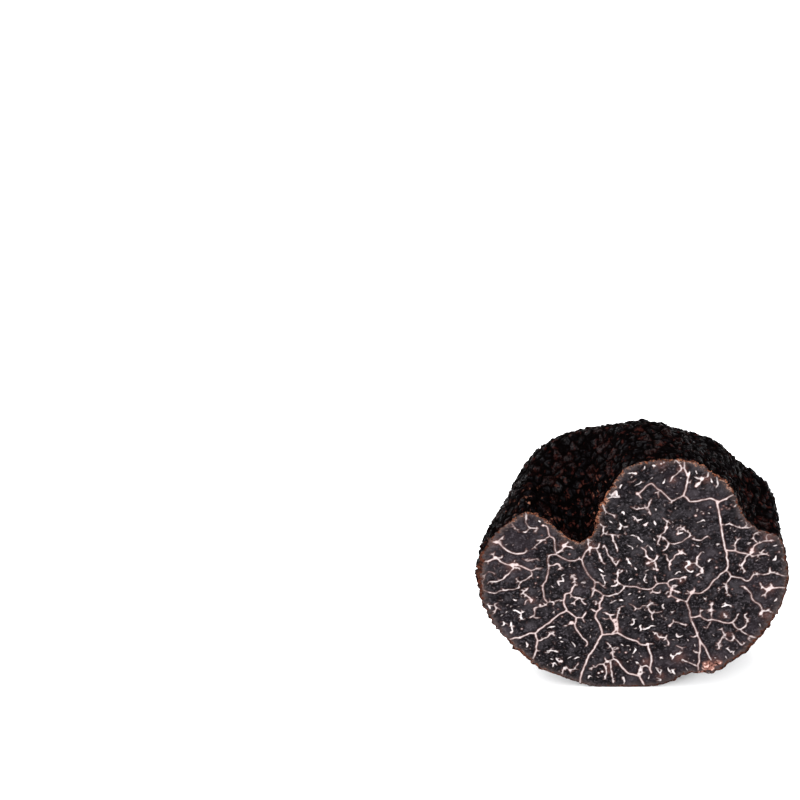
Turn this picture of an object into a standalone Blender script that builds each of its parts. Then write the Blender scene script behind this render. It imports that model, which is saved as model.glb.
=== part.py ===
# Half of a black truffle, cut straight through and standing on its small flat spot.
# Metres, +Z up. The origin is on the flat spot, the cut looks along -Y.
import bmesh
import bpy
import numpy as np

mm = 0.001

# driving dimensions
cutBehindOrigin = 11.0 * mm      # the cut plane lies this far in front of the origin, along -Y
bodyMiddle = np.array([1.6, 33.0]) * mm   # x and z of the middle of the round body
halfWidth = 34.0 * mm
heightAbove = 33.0 * mm          # from the middle up to the crown
heightBelow = 40.0 * mm          # from the middle down, before the flat spot takes the end off
depth = 37.0 * mm                # from the cut to the far end of the half
foldReach = 19.0 * mm            # how far behind the cut the folds of the outline run out
outlineMiddle = np.array([-4.7, 26.0]) * mm   # every point of the outline can be seen from here
outlineSoftness = 1.6            # degrees of turn over which the corners of the outline are rounded
turnSteps = 120                  # facets around the axis
tiltSteps = 44                   # facets from the cut's side to the far end, counted on a whole ball
rindColour = (0.012, 0.008, 0.008, 1.0)
rindRoughness = 0.62

# the cut's outline, x and z in millimetres, anticlockwise from the right-hand side
outline = [
    (35.0, 32.0), (33.3, 40.0), (31.6, 44.6), (27.0, 45.6), (23.2, 49.8), (21.4, 54.6),
    (19.2, 59.0), (15.0, 62.2), (11.5, 64.8), (5.0, 65.3), (-0.5, 64.2), (-4.2, 62.9),
    (-5.2, 59.5), (-7.2, 55.2), (-8.9, 52.7), (-8.6, 48.5), (-9.9, 44.2), (-11.8, 42.3),
    (-14.5, 43.2), (-17.0, 45.4), (-20.0, 48.6), (-22.0, 51.2), (-24.5, 51.2), (-27.5, 48.9),
    (-32.0, 44.0), (-34.3, 39.0), (-34.9, 33.0), (-33.9, 26.0), (-30.8, 18.7), (-25.8, 11.6),
    (-20.0, 5.6), (-13.0, 2.2), (-6.0, -0.8), (3.0, -1.0), (9.5, 0.6), (14.5, 4.4),
    (20.4, 4.2), (27.2, 10.4), (31.8, 18.3), (34.2, 25.0),
]

# broad swells: height in mm, waves per metre along x, y, z, and where the wave starts
swells = [
    (0.6, (210.0, 90.0, 150.0), 5.0),
    (0.6, (-120.0, 260.0, 110.0), 0.8),
    (0.5, (330.0, -150.0, -240.0), 3.2),
    (0.4, (-260.0, -300.0, 330.0), 1.3),
]

# knolls and hollows: middle x, y, z from the origin, radius and rise, all in mm, a hollow's rise negative
knolls = [
    ((-18.0, 9.0, 53.0), 11.0, 1.8),
    ((31.0, 3.0, 44.0), 9.0, 1.5),
    ((17.0, 17.0, 34.0), 9.0, -2.6),
    ((-24.0, 12.0, 36.0), 8.0, -2.0),
    ((-2.0, 25.0, 26.0), 11.0, -2.4),
]


def clearScene():
    for thing in list(bpy.data.objects):
        bpy.data.objects.remove(thing, do_unlink=True)


# distance from the outline's middle to the cut's edge: straight runs between the outline's points,
# then a circular blur a degree or two wide that rounds the corners
def outlineReach(turn):
    points = np.array(outline) * mm - outlineMiddle
    pointTurn = np.arctan2(points[:, 1], points[:, 0])
    steps = 1440
    even = (np.arange(steps) / steps - 0.5) * 2 * np.pi
    order = np.argsort(pointTurn)
    x = np.interp(even, pointTurn[order], points[order, 0], period=2 * np.pi)
    z = np.interp(even, pointTurn[order], points[order, 1], period=2 * np.pi)
    waves = np.arange(steps // 2 + 1)
    softness = np.exp(-0.5 * (waves * np.radians(outlineSoftness)) ** 2)
    reach = np.fft.irfft(np.fft.rfft(np.hypot(x, z)) * softness, steps)
    return np.interp(turn, even, reach, period=2 * np.pi)


# distance from the outline's middle to the round body's own ellipse, which is taller below than above:
# a ray crosses each of the two ellipses once, and the one on its own side of the middle counts
def ellipseReach(turn):
    offset = outlineMiddle - bodyMiddle
    found = []
    for height in (heightAbove, heightBelow):
        a = (np.cos(turn) / halfWidth) ** 2 + (np.sin(turn) / height) ** 2
        b = offset[0] * np.cos(turn) / halfWidth ** 2 + offset[1] * np.sin(turn) / height ** 2
        c = (offset[0] / halfWidth) ** 2 + (offset[1] / height) ** 2 - 1
        found.append((np.sqrt(b * b - a * c) - b) / a)
    above = offset[1] + found[0] * np.sin(turn) > 0
    return np.where(above, found[0], found[1])


# the skin of the half: turn runs round the cut, tilt runs from 0 at the cut to 90 degrees at the far end.
# Each slice is the ellipse shrunk by cos(tilt), plus the outline's own folds, which fade out behind the cut,
# plus the swells and knolls, which fade in there
def skinPoints(turn, tilt):
    ray = np.stack([np.cos(turn), np.sin(turn)], axis=-1)
    round_ = outlineMiddle + ellipseReach(turn)[:, None] * ray - bodyMiddle
    behind = depth * np.sin(tilt)
    fade = np.clip(np.abs(behind) / foldReach, 0, 1)
    fold = 1 - fade * fade * (3 - 2 * fade)
    folded = (outlineReach(turn) - ellipseReach(turn)) * fold
    flat = bodyMiddle + round_ * np.cos(tilt)[:, None] + ray * folded[:, None]
    points = np.stack([flat[:, 0], behind - cutBehindOrigin, flat[:, 1]], axis=-1)
    middle = np.array([bodyMiddle[0], -cutBehindOrigin, bodyMiddle[1]])
    outward = points - middle
    outward /= np.linalg.norm(outward, axis=1)[:, None]
    rise = np.zeros(len(points))
    for height, waves, start in swells:
        rise += height * mm * np.sin(points @ np.array(waves) + start)
    for place, radius, height in knolls:
        away = np.linalg.norm(points - np.array(place) * mm, axis=1) / (radius * mm)
        rise += height * mm * np.exp(-away ** 2)
    return points + outward * (rise * (1 - fold))[:, None]


def truffleHalf():
    shape = bmesh.new()
    bmesh.ops.create_uvsphere(shape, u_segments=turnSteps, v_segments=tiltSteps, radius=1.0)
    ball = np.array([vertex.co for vertex in shape.verts])
    turn = np.arctan2(ball[:, 1], ball[:, 0])
    tilt = np.arcsin(np.clip(ball[:, 2], -1, 1))
    for vertex, place in zip(shape.verts, skinPoints(-turn, tilt)):
        vertex.co = place
    cut = bmesh.ops.bisect_plane(
        shape, geom=shape.verts[:] + shape.edges[:] + shape.faces[:], dist=1e-6,
        plane_co=(0, -cutBehindOrigin, 0), plane_no=(0, -1, 0), clear_outer=True)
    closeCut(shape, cut)
    rest = bmesh.ops.bisect_plane(
        shape, geom=shape.verts[:] + shape.edges[:] + shape.faces[:], dist=1e-6,
        plane_co=(0, 0, 0), plane_no=(0, 0, -1), clear_outer=True)
    closeCut(shape, rest)
    bmesh.ops.recalc_face_normals(shape, faces=shape.faces[:])
    mesh = bpy.data.meshes.new("truffle_half")
    shape.to_mesh(mesh)
    shape.free()
    mesh.shade_smooth()
    mesh.set_sharp_from_angle(angle=np.radians(40))
    return bpy.data.objects.new("truffle_half", mesh)


# one flat face over the edges that a cutting plane left
def closeCut(shape, result):
    edges = [part for part in result["geom_cut"] if isinstance(part, bmesh.types.BMEdge)]
    bmesh.ops.edgeloop_fill(shape, edges=edges)


def rindMaterial():
    material = bpy.data.materials.new("truffle_rind")
    material.use_nodes = True
    surface = material.node_tree.nodes["Principled BSDF"]
    surface.inputs["Base Color"].default_value = rindColour
    surface.inputs["Roughness"].default_value = rindRoughness
    surface.inputs["Metallic"].default_value = 0.0
    return material


clearScene()
half = truffleHalf()
half.data.materials.append(rindMaterial())
truffle = bpy.data.collections.new("black_truffle")
bpy.context.scene.collection.children.link(truffle)
truffle.objects.link(half)
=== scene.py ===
# Black truffle, one cut half: a warty near-black rind and the veined face that the knife left.
from itertools import product
import bpy
import numpy as np
from mathutils import Matrix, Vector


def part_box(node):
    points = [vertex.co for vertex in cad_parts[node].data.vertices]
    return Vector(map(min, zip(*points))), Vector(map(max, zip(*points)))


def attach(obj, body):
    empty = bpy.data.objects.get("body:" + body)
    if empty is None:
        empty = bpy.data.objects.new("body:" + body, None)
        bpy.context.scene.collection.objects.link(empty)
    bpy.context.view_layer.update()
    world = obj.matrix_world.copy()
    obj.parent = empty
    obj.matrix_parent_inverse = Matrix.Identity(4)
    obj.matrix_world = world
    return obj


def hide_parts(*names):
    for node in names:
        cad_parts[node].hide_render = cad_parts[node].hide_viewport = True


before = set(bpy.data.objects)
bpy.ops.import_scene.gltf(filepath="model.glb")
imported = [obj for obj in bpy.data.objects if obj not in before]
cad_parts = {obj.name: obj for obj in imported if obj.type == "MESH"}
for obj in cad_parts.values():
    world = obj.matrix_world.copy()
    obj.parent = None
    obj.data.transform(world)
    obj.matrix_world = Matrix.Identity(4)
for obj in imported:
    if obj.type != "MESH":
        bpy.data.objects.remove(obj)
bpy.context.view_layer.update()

mm = 0.001
node = "truffle_half"
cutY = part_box(node)[0][1] / mm   # the plane of the cut, in millimetres

body = {
    "middle": (1.6, 33.0),       # x and z of the middle of the round body
    "halfWidth": 34.0,
    "above": 33.0,               # from the middle to the crown
    "below": 40.0,               # from the middle down, before the flat spot
    "depth": 37.0,               # from the cut to the far end
    "foldReach": 19.0,           # the outline's folds run out this far behind the cut
    "seen": (-4.7, 26.0),        # every point of the outline can be seen from here
    "softness": 1.6,             # degrees over which the outline's corners are rounded
    "restRound": 0.7,            # how softly the skin turns into the flat spot
    "steps": 314,                # quads along a side of each square grid
    "bandRings": 79,             # rings of quads in the front band of the rind
    # broad swells: height, waves along x, y and z, start
    "swells": [(0.6, (0.210, 0.090, 0.150), 5.0), (0.6, (-0.120, 0.260, 0.110), 0.8),
               (0.5, (0.330, -0.150, -0.240), 3.2), (0.4, (-0.260, -0.300, 0.330), 1.3)],
    # knolls and hollows: middle, radius, rise
    "knolls": [((-18, 9, 53), 11, 1.8), ((31, 3, 44), 9, 1.5), ((17, 17, 34), 9, -2.6),
               ((-24, 12, 36), 8, -2.0), ((-2, 25, 26), 11, -2.4)],
    # the edge of the cut, x and z in turn, anticlockwise from the right
    "outline": [
        35.0, 32.0, 33.3, 40.0, 31.6, 44.6, 27.0, 45.6, 23.2, 49.8, 21.4, 54.6, 19.2, 59.0, 15.0, 62.2,
        11.5, 64.8, 5.0, 65.3, -0.5, 64.2, -4.2, 62.9, -5.2, 59.5, -7.2, 55.2, -8.9, 52.7, -8.6, 48.5,
        -9.9, 44.2, -11.8, 42.3, -14.5, 43.2, -17.0, 45.4, -20.0, 48.6, -22.0, 51.2, -24.5, 51.2,
        -27.5, 48.9, -32.0, 44.0, -34.3, 39.0, -34.9, 33.0, -33.9, 26.0, -30.8, 18.7, -25.8, 11.6,
        -20.0, 5.6, -13.0, 2.2, -6.0, -0.8, 3.0, -1.0, 9.5, 0.6, 14.5, 4.4, 20.4, 4.2, 27.2, 10.4,
        31.8, 18.3, 34.2, 25.0],
}


# distance from "seen" to the cut's edge: straight runs between the outline's points, read at even
# angles, with their corners rounded by a circular blur
def outlineReach(turn):
    points = np.array(body["outline"]).reshape(-1, 2) - body["seen"]
    pointTurn = np.arctan2(points[:, 1], points[:, 0])
    order = np.argsort(pointTurn)
    count = 1440
    even = (np.arange(count) / count - 0.5) * 2 * np.pi
    x = np.interp(even, pointTurn[order], points[order, 0], period=2 * np.pi)
    z = np.interp(even, pointTurn[order], points[order, 1], period=2 * np.pi)
    soft = np.exp(-0.5 * (np.arange(count // 2 + 1) * np.radians(body["softness"])) ** 2)
    reach = np.fft.irfft(np.fft.rfft(np.hypot(x, z)) * soft, count)
    return np.interp(turn, even, reach, period=2 * np.pi)


# distance from "seen" to the round body's ellipse, taller below than above: a ray meets each ellipse
# once, and the one on its own side of the middle counts
def ellipseReach(turn):
    offset = np.array(body["seen"]) - body["middle"]
    found = []
    for height in (body["above"], body["below"]):
        a = (np.cos(turn) / body["halfWidth"]) ** 2 + (np.sin(turn) / height) ** 2
        b = offset[0] * np.cos(turn) / body["halfWidth"] ** 2 + offset[1] * np.sin(turn) / height ** 2
        c = (offset[0] / body["halfWidth"]) ** 2 + (offset[1] / height) ** 2 - 1
        found.append((np.sqrt(b * b - a * c) - b) / a)
    return np.where(offset[1] + found[0] * np.sin(turn) > 0, found[0], found[1])


# the smooth skin: turn runs round the cut, tilt from 0 at the cut to a quarter turn at the far end.
# Each slice is the ellipse shrunk by cos(tilt), plus the outline's folds, which fade out behind the cut,
# plus swells and knolls, which fade in there. The lowest part passes below the floor; settle mends that
def skinPoints(turn, tilt):
    ray = np.stack([np.cos(turn), np.sin(turn)], axis=-1)
    middle = np.array(body["middle"])
    ellipse = np.array(body["seen"]) + ellipseReach(turn)[..., None] * ray - middle
    behind = body["depth"] * np.sin(tilt)
    fade = np.clip(behind / body["foldReach"], 0, 1)
    fold = 1 - fade * fade * (3 - 2 * fade)
    flat = middle + ellipse * np.cos(tilt)[..., None]
    flat += ray * ((outlineReach(turn) - ellipseReach(turn)) * fold)[..., None]
    points = np.stack([flat[..., 0], behind + cutY, flat[..., 1]], axis=-1)
    outward = points - np.array([middle[0], cutY, middle[1]])
    outward /= np.linalg.norm(outward, axis=-1)[..., None]
    rise = np.zeros(turn.shape)
    for height, waves, start in body["swells"]:
        rise += height * np.sin(points @ np.array(waves) + start)
    for place, radius, height in body["knolls"]:
        away = np.linalg.norm(points - np.array(place), axis=-1) / radius
        rise += height * np.exp(-away ** 2)
    return points + outward * (rise * (1 - fold))[..., None]


# a square grid laid over a disc ring by ring: the larger of |u| and |v| is the distance from the middle,
# their ratio is the angle. Returns angle, distance and the square's own u, v from 0 to 1
def discGrid(steps):
    line = np.linspace(-1, 1, steps + 1)
    u, v = np.meshgrid(line, line, indexing="ij")
    wide = np.abs(u) >= np.abs(v)
    far = np.where(wide, u, v)
    near = np.where(wide, v, u)
    safe = np.where(far == 0, 1, far)
    angle = np.where(wide, near / safe, 2 - near / safe) * np.pi / 4
    angle = np.where(far < 0, angle + np.pi, angle)
    return angle, np.abs(far), (u + 1) / 2, (v + 1) / 2


# a band of rings that fits round a square grid: even angles, distance from inner to 1. Its u, v are those
# of a larger square grid that it would be the outer part of
def bandGrid(steps, rings, inner):
    count = np.arange(4 * steps)
    side, along = count // steps, (count % steps) / steps * 2 - 1
    squareU = np.choose(side, (np.ones(4 * steps), -along, -np.ones(4 * steps), along))
    squareV = np.choose(side, (along, np.ones(4 * steps), -along, -np.ones(4 * steps)))
    turn = -np.pi / 4 + count * np.pi / 2 / steps
    out, angle = np.meshgrid(np.linspace(inner, 1, rings + 1), turn, indexing="ij")
    return angle, out, (1 + out * squareU) / 2, (1 + out * squareV) / 2


# a mesh from an array of points in millimetres, one quad between each four neighbours. With wrap the last
# column joins the first, with flip the quads face the other way. Its map stays a hair inside the square
def gridPiece(name, points, u, v, wrap, flip):
    rows, columns = points.shape[:2]
    index = np.arange(rows * columns).reshape(rows, columns)
    if wrap:
        index = np.hstack([index, index[:, :1]])
    quads = np.stack([index[:-1, :-1], index[1:, :-1], index[1:, 1:], index[:-1, 1:]], axis=-1).reshape(-1, 4)
    if flip:
        quads = quads[:, ::-1]
    mesh = bpy.data.meshes.new(name)
    mesh.vertices.add(rows * columns)
    mesh.vertices.foreach_set("co", (points * mm).astype(np.float32).ravel())
    mesh.loops.add(quads.size)
    mesh.loops.foreach_set("vertex_index", quads.ravel().astype(np.int32))
    mesh.polygons.add(len(quads))
    mesh.polygons.foreach_set("loop_start", np.arange(0, quads.size, 4, dtype=np.int32))
    mesh.update(calc_edges=True)
    layer = mesh.uv_layers.new(name="OFBake")
    uv = np.stack([u.ravel(), v.ravel()], axis=-1)[quads.ravel()] * 0.99 + 0.005
    layer.data.foreach_set("uv", uv.astype(np.float32).ravel())
    mesh.shade_smooth()
    piece = bpy.data.objects.new(name, mesh)
    bpy.context.scene.collection.objects.link(piece)
    return piece


# one number at each vertex, for the material to read
def paintOnto(piece, name, values):
    layer = piece.data.attributes.new(name, "FLOAT", "POINT")
    layer.data.foreach_set("value", values.astype(np.float32).ravel())


# soft step from 0 at low to 1 at high
def ease(low, high, value):
    t = np.clip((value - low) / (high - low), 0, 1)
    return t * t * (3 - 2 * t)


# a row of a table of random numbers for each cell of a lattice, by hashing the cell's three numbers
def tableRow(cell):
    return (cell[..., 0] * 73856093 ^ cell[..., 1] * 19349663 ^ cell[..., 2] * 83492791) % 4096


# one seed at a random place in every cube of side size. For each point: the distances to the nearest and
# the second nearest seed over size, the way from the nearest seed, and that seed's own random numbers
def seedCells(points, size, salt):
    table = np.random.default_rng(salt).random((4096, 6))
    base = np.floor(points / size).astype(np.int64)
    nearest = np.full(points.shape[:-1], 9.0)
    second = np.full(points.shape[:-1], 9.0)
    way = np.zeros(points.shape)
    luck = np.zeros(points.shape)
    for step in product((-1, 0, 1), repeat=3):
        cell = base + np.array(step)
        row = tableRow(cell)
        toward = points / size - cell - table[row, :3]
        away = np.linalg.norm(toward, axis=-1)
        first = away < nearest
        second = np.where(first, nearest, np.minimum(second, away))
        way = np.where(first[..., None], toward, way)
        luck = np.where(first[..., None], table[row, 3:], luck)
        nearest = np.where(first, away, nearest)
    return nearest, second, way, luck


# smooth random field between -1 and 1: corner values of a lattice of that size, eased between corners
def drift(points, size, salt):
    table = np.random.default_rng(salt).random(4096) * 2 - 1
    scaled = points / size
    base = np.floor(scaled).astype(np.int64)
    part = scaled - base
    part = part * part * (3 - 2 * part)
    total = np.zeros(points.shape[:-1])
    for corner in product((0, 1), repeat=3):
        cell = base + np.array(corner)
        weight = np.prod(np.where(np.array(corner) == 1, part, 1 - part), axis=-1)
        total += weight * table[tableRow(cell)]
    return total


# a drift from its height, its size and its seed
def driftOf(points, values):
    height, size, seed = values
    return height * drift(points, size, seed)


rind = {
    "warts": 1900,               # seeds, one to a wart, strewn evenly over the skin
    "past": 1.02,                # the seeds run on a little past the cut
    "wartSeed": 6,
    "strew": 1.00,               # how far a seed may stray from its even place
    "groove": 0.50,              # from a wart's edge to its full height
    "wartRise": 0.46,            # from groove to wart top
    "lean": 0.20,                # how steeply the wart tops lean, each its own way
    "grain": 1.00,               # size of the small facets on the warts
    "grainRise": 0.17,
    "grainSeed": 8,
    "warp": (0.30, 1.2, 11),     # how far the grooves wander, over what length, and the seed
    "unlike": (0.40, 9.0, 3),    # how unlike the warts' heights are, over what length, and the seed
    "sideways": 0.955,           # from here out to the cut the warts turn to push only sideways
    "levelled": 0.90,            # from here out to the cut the swells fade away
    "rusty": (0.26, 0.40),       # share of red-brown flakes at the cut, and what the far end has besides
    "tanned": 0.02,              # share of tan flakes
    # noise of the look: waves to a metre, detail, roughness
    "fine": (2600, 4, 0.65),
    "patch": (700, 3, 0.6),
    "flake": (780, 2.5, 0.6),
    "crust": 1900.0,             # cells to a metre
    "black": (0.0006, 0.0003, 0.0003),
    # painted highlight: grey on the wart tops that stands in for glints
    "paintedGlintGrey": (0.0026, 0.0021, 0.0026),
    # painted shade: the near-black that the grooves between warts are darkened towards
    "paintedGrooveShade": (0.0006, 0.0003, 0.0003),
    "rust": (0.026, 0.0062, 0.0050),
    "tan": (0.22, 0.095, 0.062),
    # gentle rises and hollows of the rind behind the cut: place, radius, millimetres
    "swells": [((4, 12, 59), 5.5, -0.9), ((-23.5, 4.5, 51), 5.0, -1.1), ((26.5, 5, 51), 5.5, 1.1),
               ((-14.5, 9, 56), 5.0, 0.5)],
    # where red-brown and tan flakes are thick: place, radius, strength
    "rustZones": [((-13, -8, 47), 9.0, 0.65), ((-4, -6, 58), 8.0, 0.45), ((27, -6, 50), 9.0, 0.45),
                  ((6, -4, 66), 9.0, 0.25)],
    "tanZones": [((-21, -9, 52), 5.0, 1.0), ((-8, -9, 52), 4.0, 0.8), ((-28, -9, 48), 3.0, 0.4),
                 ((22, -9, 54), 3.0, 0.4)],
}


# turn shifted so that even steps of it are nearly even steps along the cut's edge: the length of the edge
# up to each angle, read backwards, with a fifth of plain angle mixed in
def evenTurn(turn):
    angle = np.linspace(-np.pi, np.pi, 2881)
    reach = outlineReach(angle)
    length = np.cumsum(np.hypot(np.diff(reach * np.cos(angle)), np.diff(reach * np.sin(angle))))
    length = np.concatenate([[0.0], length / length[-1]]) * 2 * np.pi - np.pi
    whole = np.floor((turn + np.pi) / (2 * np.pi)) * 2 * np.pi
    return np.interp(turn - whole, 0.8 * length + 0.2 * angle, angle) + whole


# outward unit normals of the skin: the cross product of a small step in turn and a small step in tilt.
# At the far end every turn is the same point, and the skin faces straight back
def skinNormals(turn, tilt):
    step = 0.01
    across = skinPoints(turn + step, tilt) - skinPoints(turn - step, tilt)
    along = skinPoints(turn, tilt + step) - skinPoints(turn, tilt - step)
    normal = np.cross(across, along)
    length = np.linalg.norm(normal, axis=-1)[..., None]
    normal = np.where(length > 1e-7, normal / np.maximum(length, 1e-9), (0.0, 1.0, 0.0))
    inside = np.array([body["middle"][0], cutY, body["middle"][1]])
    return normal * np.sign(np.sum(normal * (skinPoints(turn, tilt) - inside), axis=-1))[..., None]


# a sum of soft round spots: each adds its strength times a bell curve of the distance over its radius
def zoneSum(points, zones):
    total = np.zeros(points.shape[:-1])
    for place, radius, strength in zones:
        away = np.linalg.norm(points - np.array(place), axis=-1) / radius
        total += strength * np.exp(-away ** 2)
    return total


# squared distance from every point to every target: both lengths squared less twice the dot product
def squaredAway(points, targets):
    return np.sum(points ** 2, axis=1)[:, None] + np.sum(targets ** 2, axis=1) - 2 * points @ targets.T


# the wart that each point belongs to. Seeds lie on the skin along a golden-angle spiral of equal areas,
# each strayed a little. Returns the distance to the wart's own edge, which is halfway to the next seed,
# the height of the wart's leaning top and the wart's random number
def wartCells(points):
    random = np.random.default_rng(rind["wartSeed"])
    count = rind["warts"]
    step = np.arange(count) + 0.5
    turn = step * np.pi * (3 - np.sqrt(5))
    tilt = np.arcsin(1 - rind["past"] * step / count)
    seeds = skinPoints(turn, tilt) + random.uniform(-1, 1, (count, 3)) * rind["strew"]
    slope = random.normal(0, 1, (count, 3))
    luck = random.random(count)
    flat = points.reshape(-1, 3)
    inward = np.empty(len(flat))
    lean = np.empty(len(flat))
    own = np.empty(len(flat), int)
    for part in np.array_split(np.arange(len(flat)), 48):
        away = squaredAway(flat[part], seeds)
        row = np.arange(len(part))
        first = np.argmin(away, axis=1)
        nearest = away[row, first]
        away[row, first] = 1e9
        second = np.argmin(away, axis=1)
        apart = np.linalg.norm(seeds[first] - seeds[second], axis=1)
        inward[part] = (away[row, second] - nearest) / (2 * np.maximum(apart, 0.1))
        lean[part] = np.sum((flat[part] - seeds[first]) * slope[first], axis=1)
        own[part] = first
    shape = points.shape[:-1]
    lean = np.clip(lean, -1.5, 1.5)
    return inward.reshape(shape), lean.reshape(shape), luck[own].reshape(shape)


# height above the floor, with everything below it brought up to it: half of height plus the root of
# height squared plus the rounding squared
def settle(height):
    return 0.5 * (height + np.sqrt(height ** 2 + body["restRound"] ** 2))


# skin plus warts: each wart is a cell that rises from the groove between two seeds, with a leaning top,
# and carries smaller cells of its own. At the cut the warts only push sideways, so the edge stays in plane,
# and the columns are first spread evenly along that edge. The last step sets the skin down on the floor
def rindShape(turn, out):
    turn = evenTurn(turn)
    tilt = (1 - out) * np.pi / 2
    smooth = skinPoints(turn, tilt)
    normal = skinNormals(turn, tilt)
    atCut = ease(rind["sideways"], 1.0, out)
    normal[..., 1] *= 1 - atCut
    normal /= np.linalg.norm(normal, axis=-1)[..., None]
    far, over, seed = rind["warp"]
    warped = smooth + far * np.stack([drift(smooth, over, seed + k) for k in range(3)], axis=-1)
    inward, lean, luck = wartCells(warped)
    dome = ease(0.0, rind["groove"], inward)
    fineNear, fineSecond, fineWay, fineLuck = seedCells(warped + 40, rind["grain"], rind["grainSeed"])
    facet = ease(0.0, 0.5, fineSecond - fineNear)
    fine = facet * (1 + 1.5 * np.sum(fineWay * (fineLuck - 0.5), axis=-1)) - 0.5
    size = 0.85 + driftOf(smooth, rind["unlike"])
    peak = 0.55 * dome + 0.45 * np.clip(inward / 1.1, 0, 1)
    rise = size * (rind["wartRise"] * (peak - 0.72) + rind["lean"] * lean * dome)
    rise += rind["grainRise"] * fine * (0.4 + 0.6 * dome)
    swell = zoneSum(smooth, rind["swells"]) * (1 - ease(rind["levelled"], 1.0, out))
    rise = rise * (1 - 0.15 * atCut) + swell
    points = smooth + normal * rise[..., None]
    points[..., 1] = np.where(out >= 1, cutY, np.maximum(points[..., 1], cutY + 0.02))
    points[..., 2] = settle(points[..., 2])
    rusty, rustier = rind["rusty"]
    rusty = rusty + rustier * ease(0.0, 16.0, smooth[..., 1]) + zoneSum(smooth, rind["rustZones"])
    tanned = rind["tanned"] + zoneSum(smooth, rind["tanZones"])
    paint = {"dome": dome, "wartLuck": luck, "grainLuck": fineLuck[..., 1], "rusty": rusty, "tanned": tanned}
    return points, paint


veins = {
    # half widths in millimetres, whiteness and warmth from 0 to 1
    "main": (0.158, 0.76, 0.60),
    "branch": (0.138, 0.78, 0.42),
    "mark": (0.155, 0.98, 0.10),
    "faint": (0.110, 0.42, 0.35),
    "spur": (0.110, 0.74, 0.30),     # short thorns that stand off the routes
    "fleck": (0.110, 0.74, 0.12),    # loose scraps in the gaps between them
    "spurs": 460,
    "flecks": 900,
    "cell": 0.05,                # spacing of the plan that the veins are drawn on
    "reach": 1.5,                # the plan knows how far the nearest vein is, up to this
    "web": 0.10,                 # how far the corners between veins are filled
    "spurReach": (0.40, 1.05),   # length of a thorn
    "spurLean": (0.8, 1.5),      # angle between a thorn and its vein, in radians
    "spurBend": 0.7,             # most that a thorn bends
    "fleckArea": ((-34, 35), (1, 64)),
    "fleckReach": (0.08, 0.55),  # half the length of a scrap
    "fleckBend": 1.6,
    "knotShare": 0.8,            # of a knot's listed radius
    "knotTone": (0.76, 0.70),    # whiteness and warmth
    "clear": 0.55,               # a scrap keeps this far from every vein
    "planFrom": (-38.0, -3.0),   # the plan's lower corner, further out than any vein reaches
    "planSize": (76, 71),
    "seed": 21,
}

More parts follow.
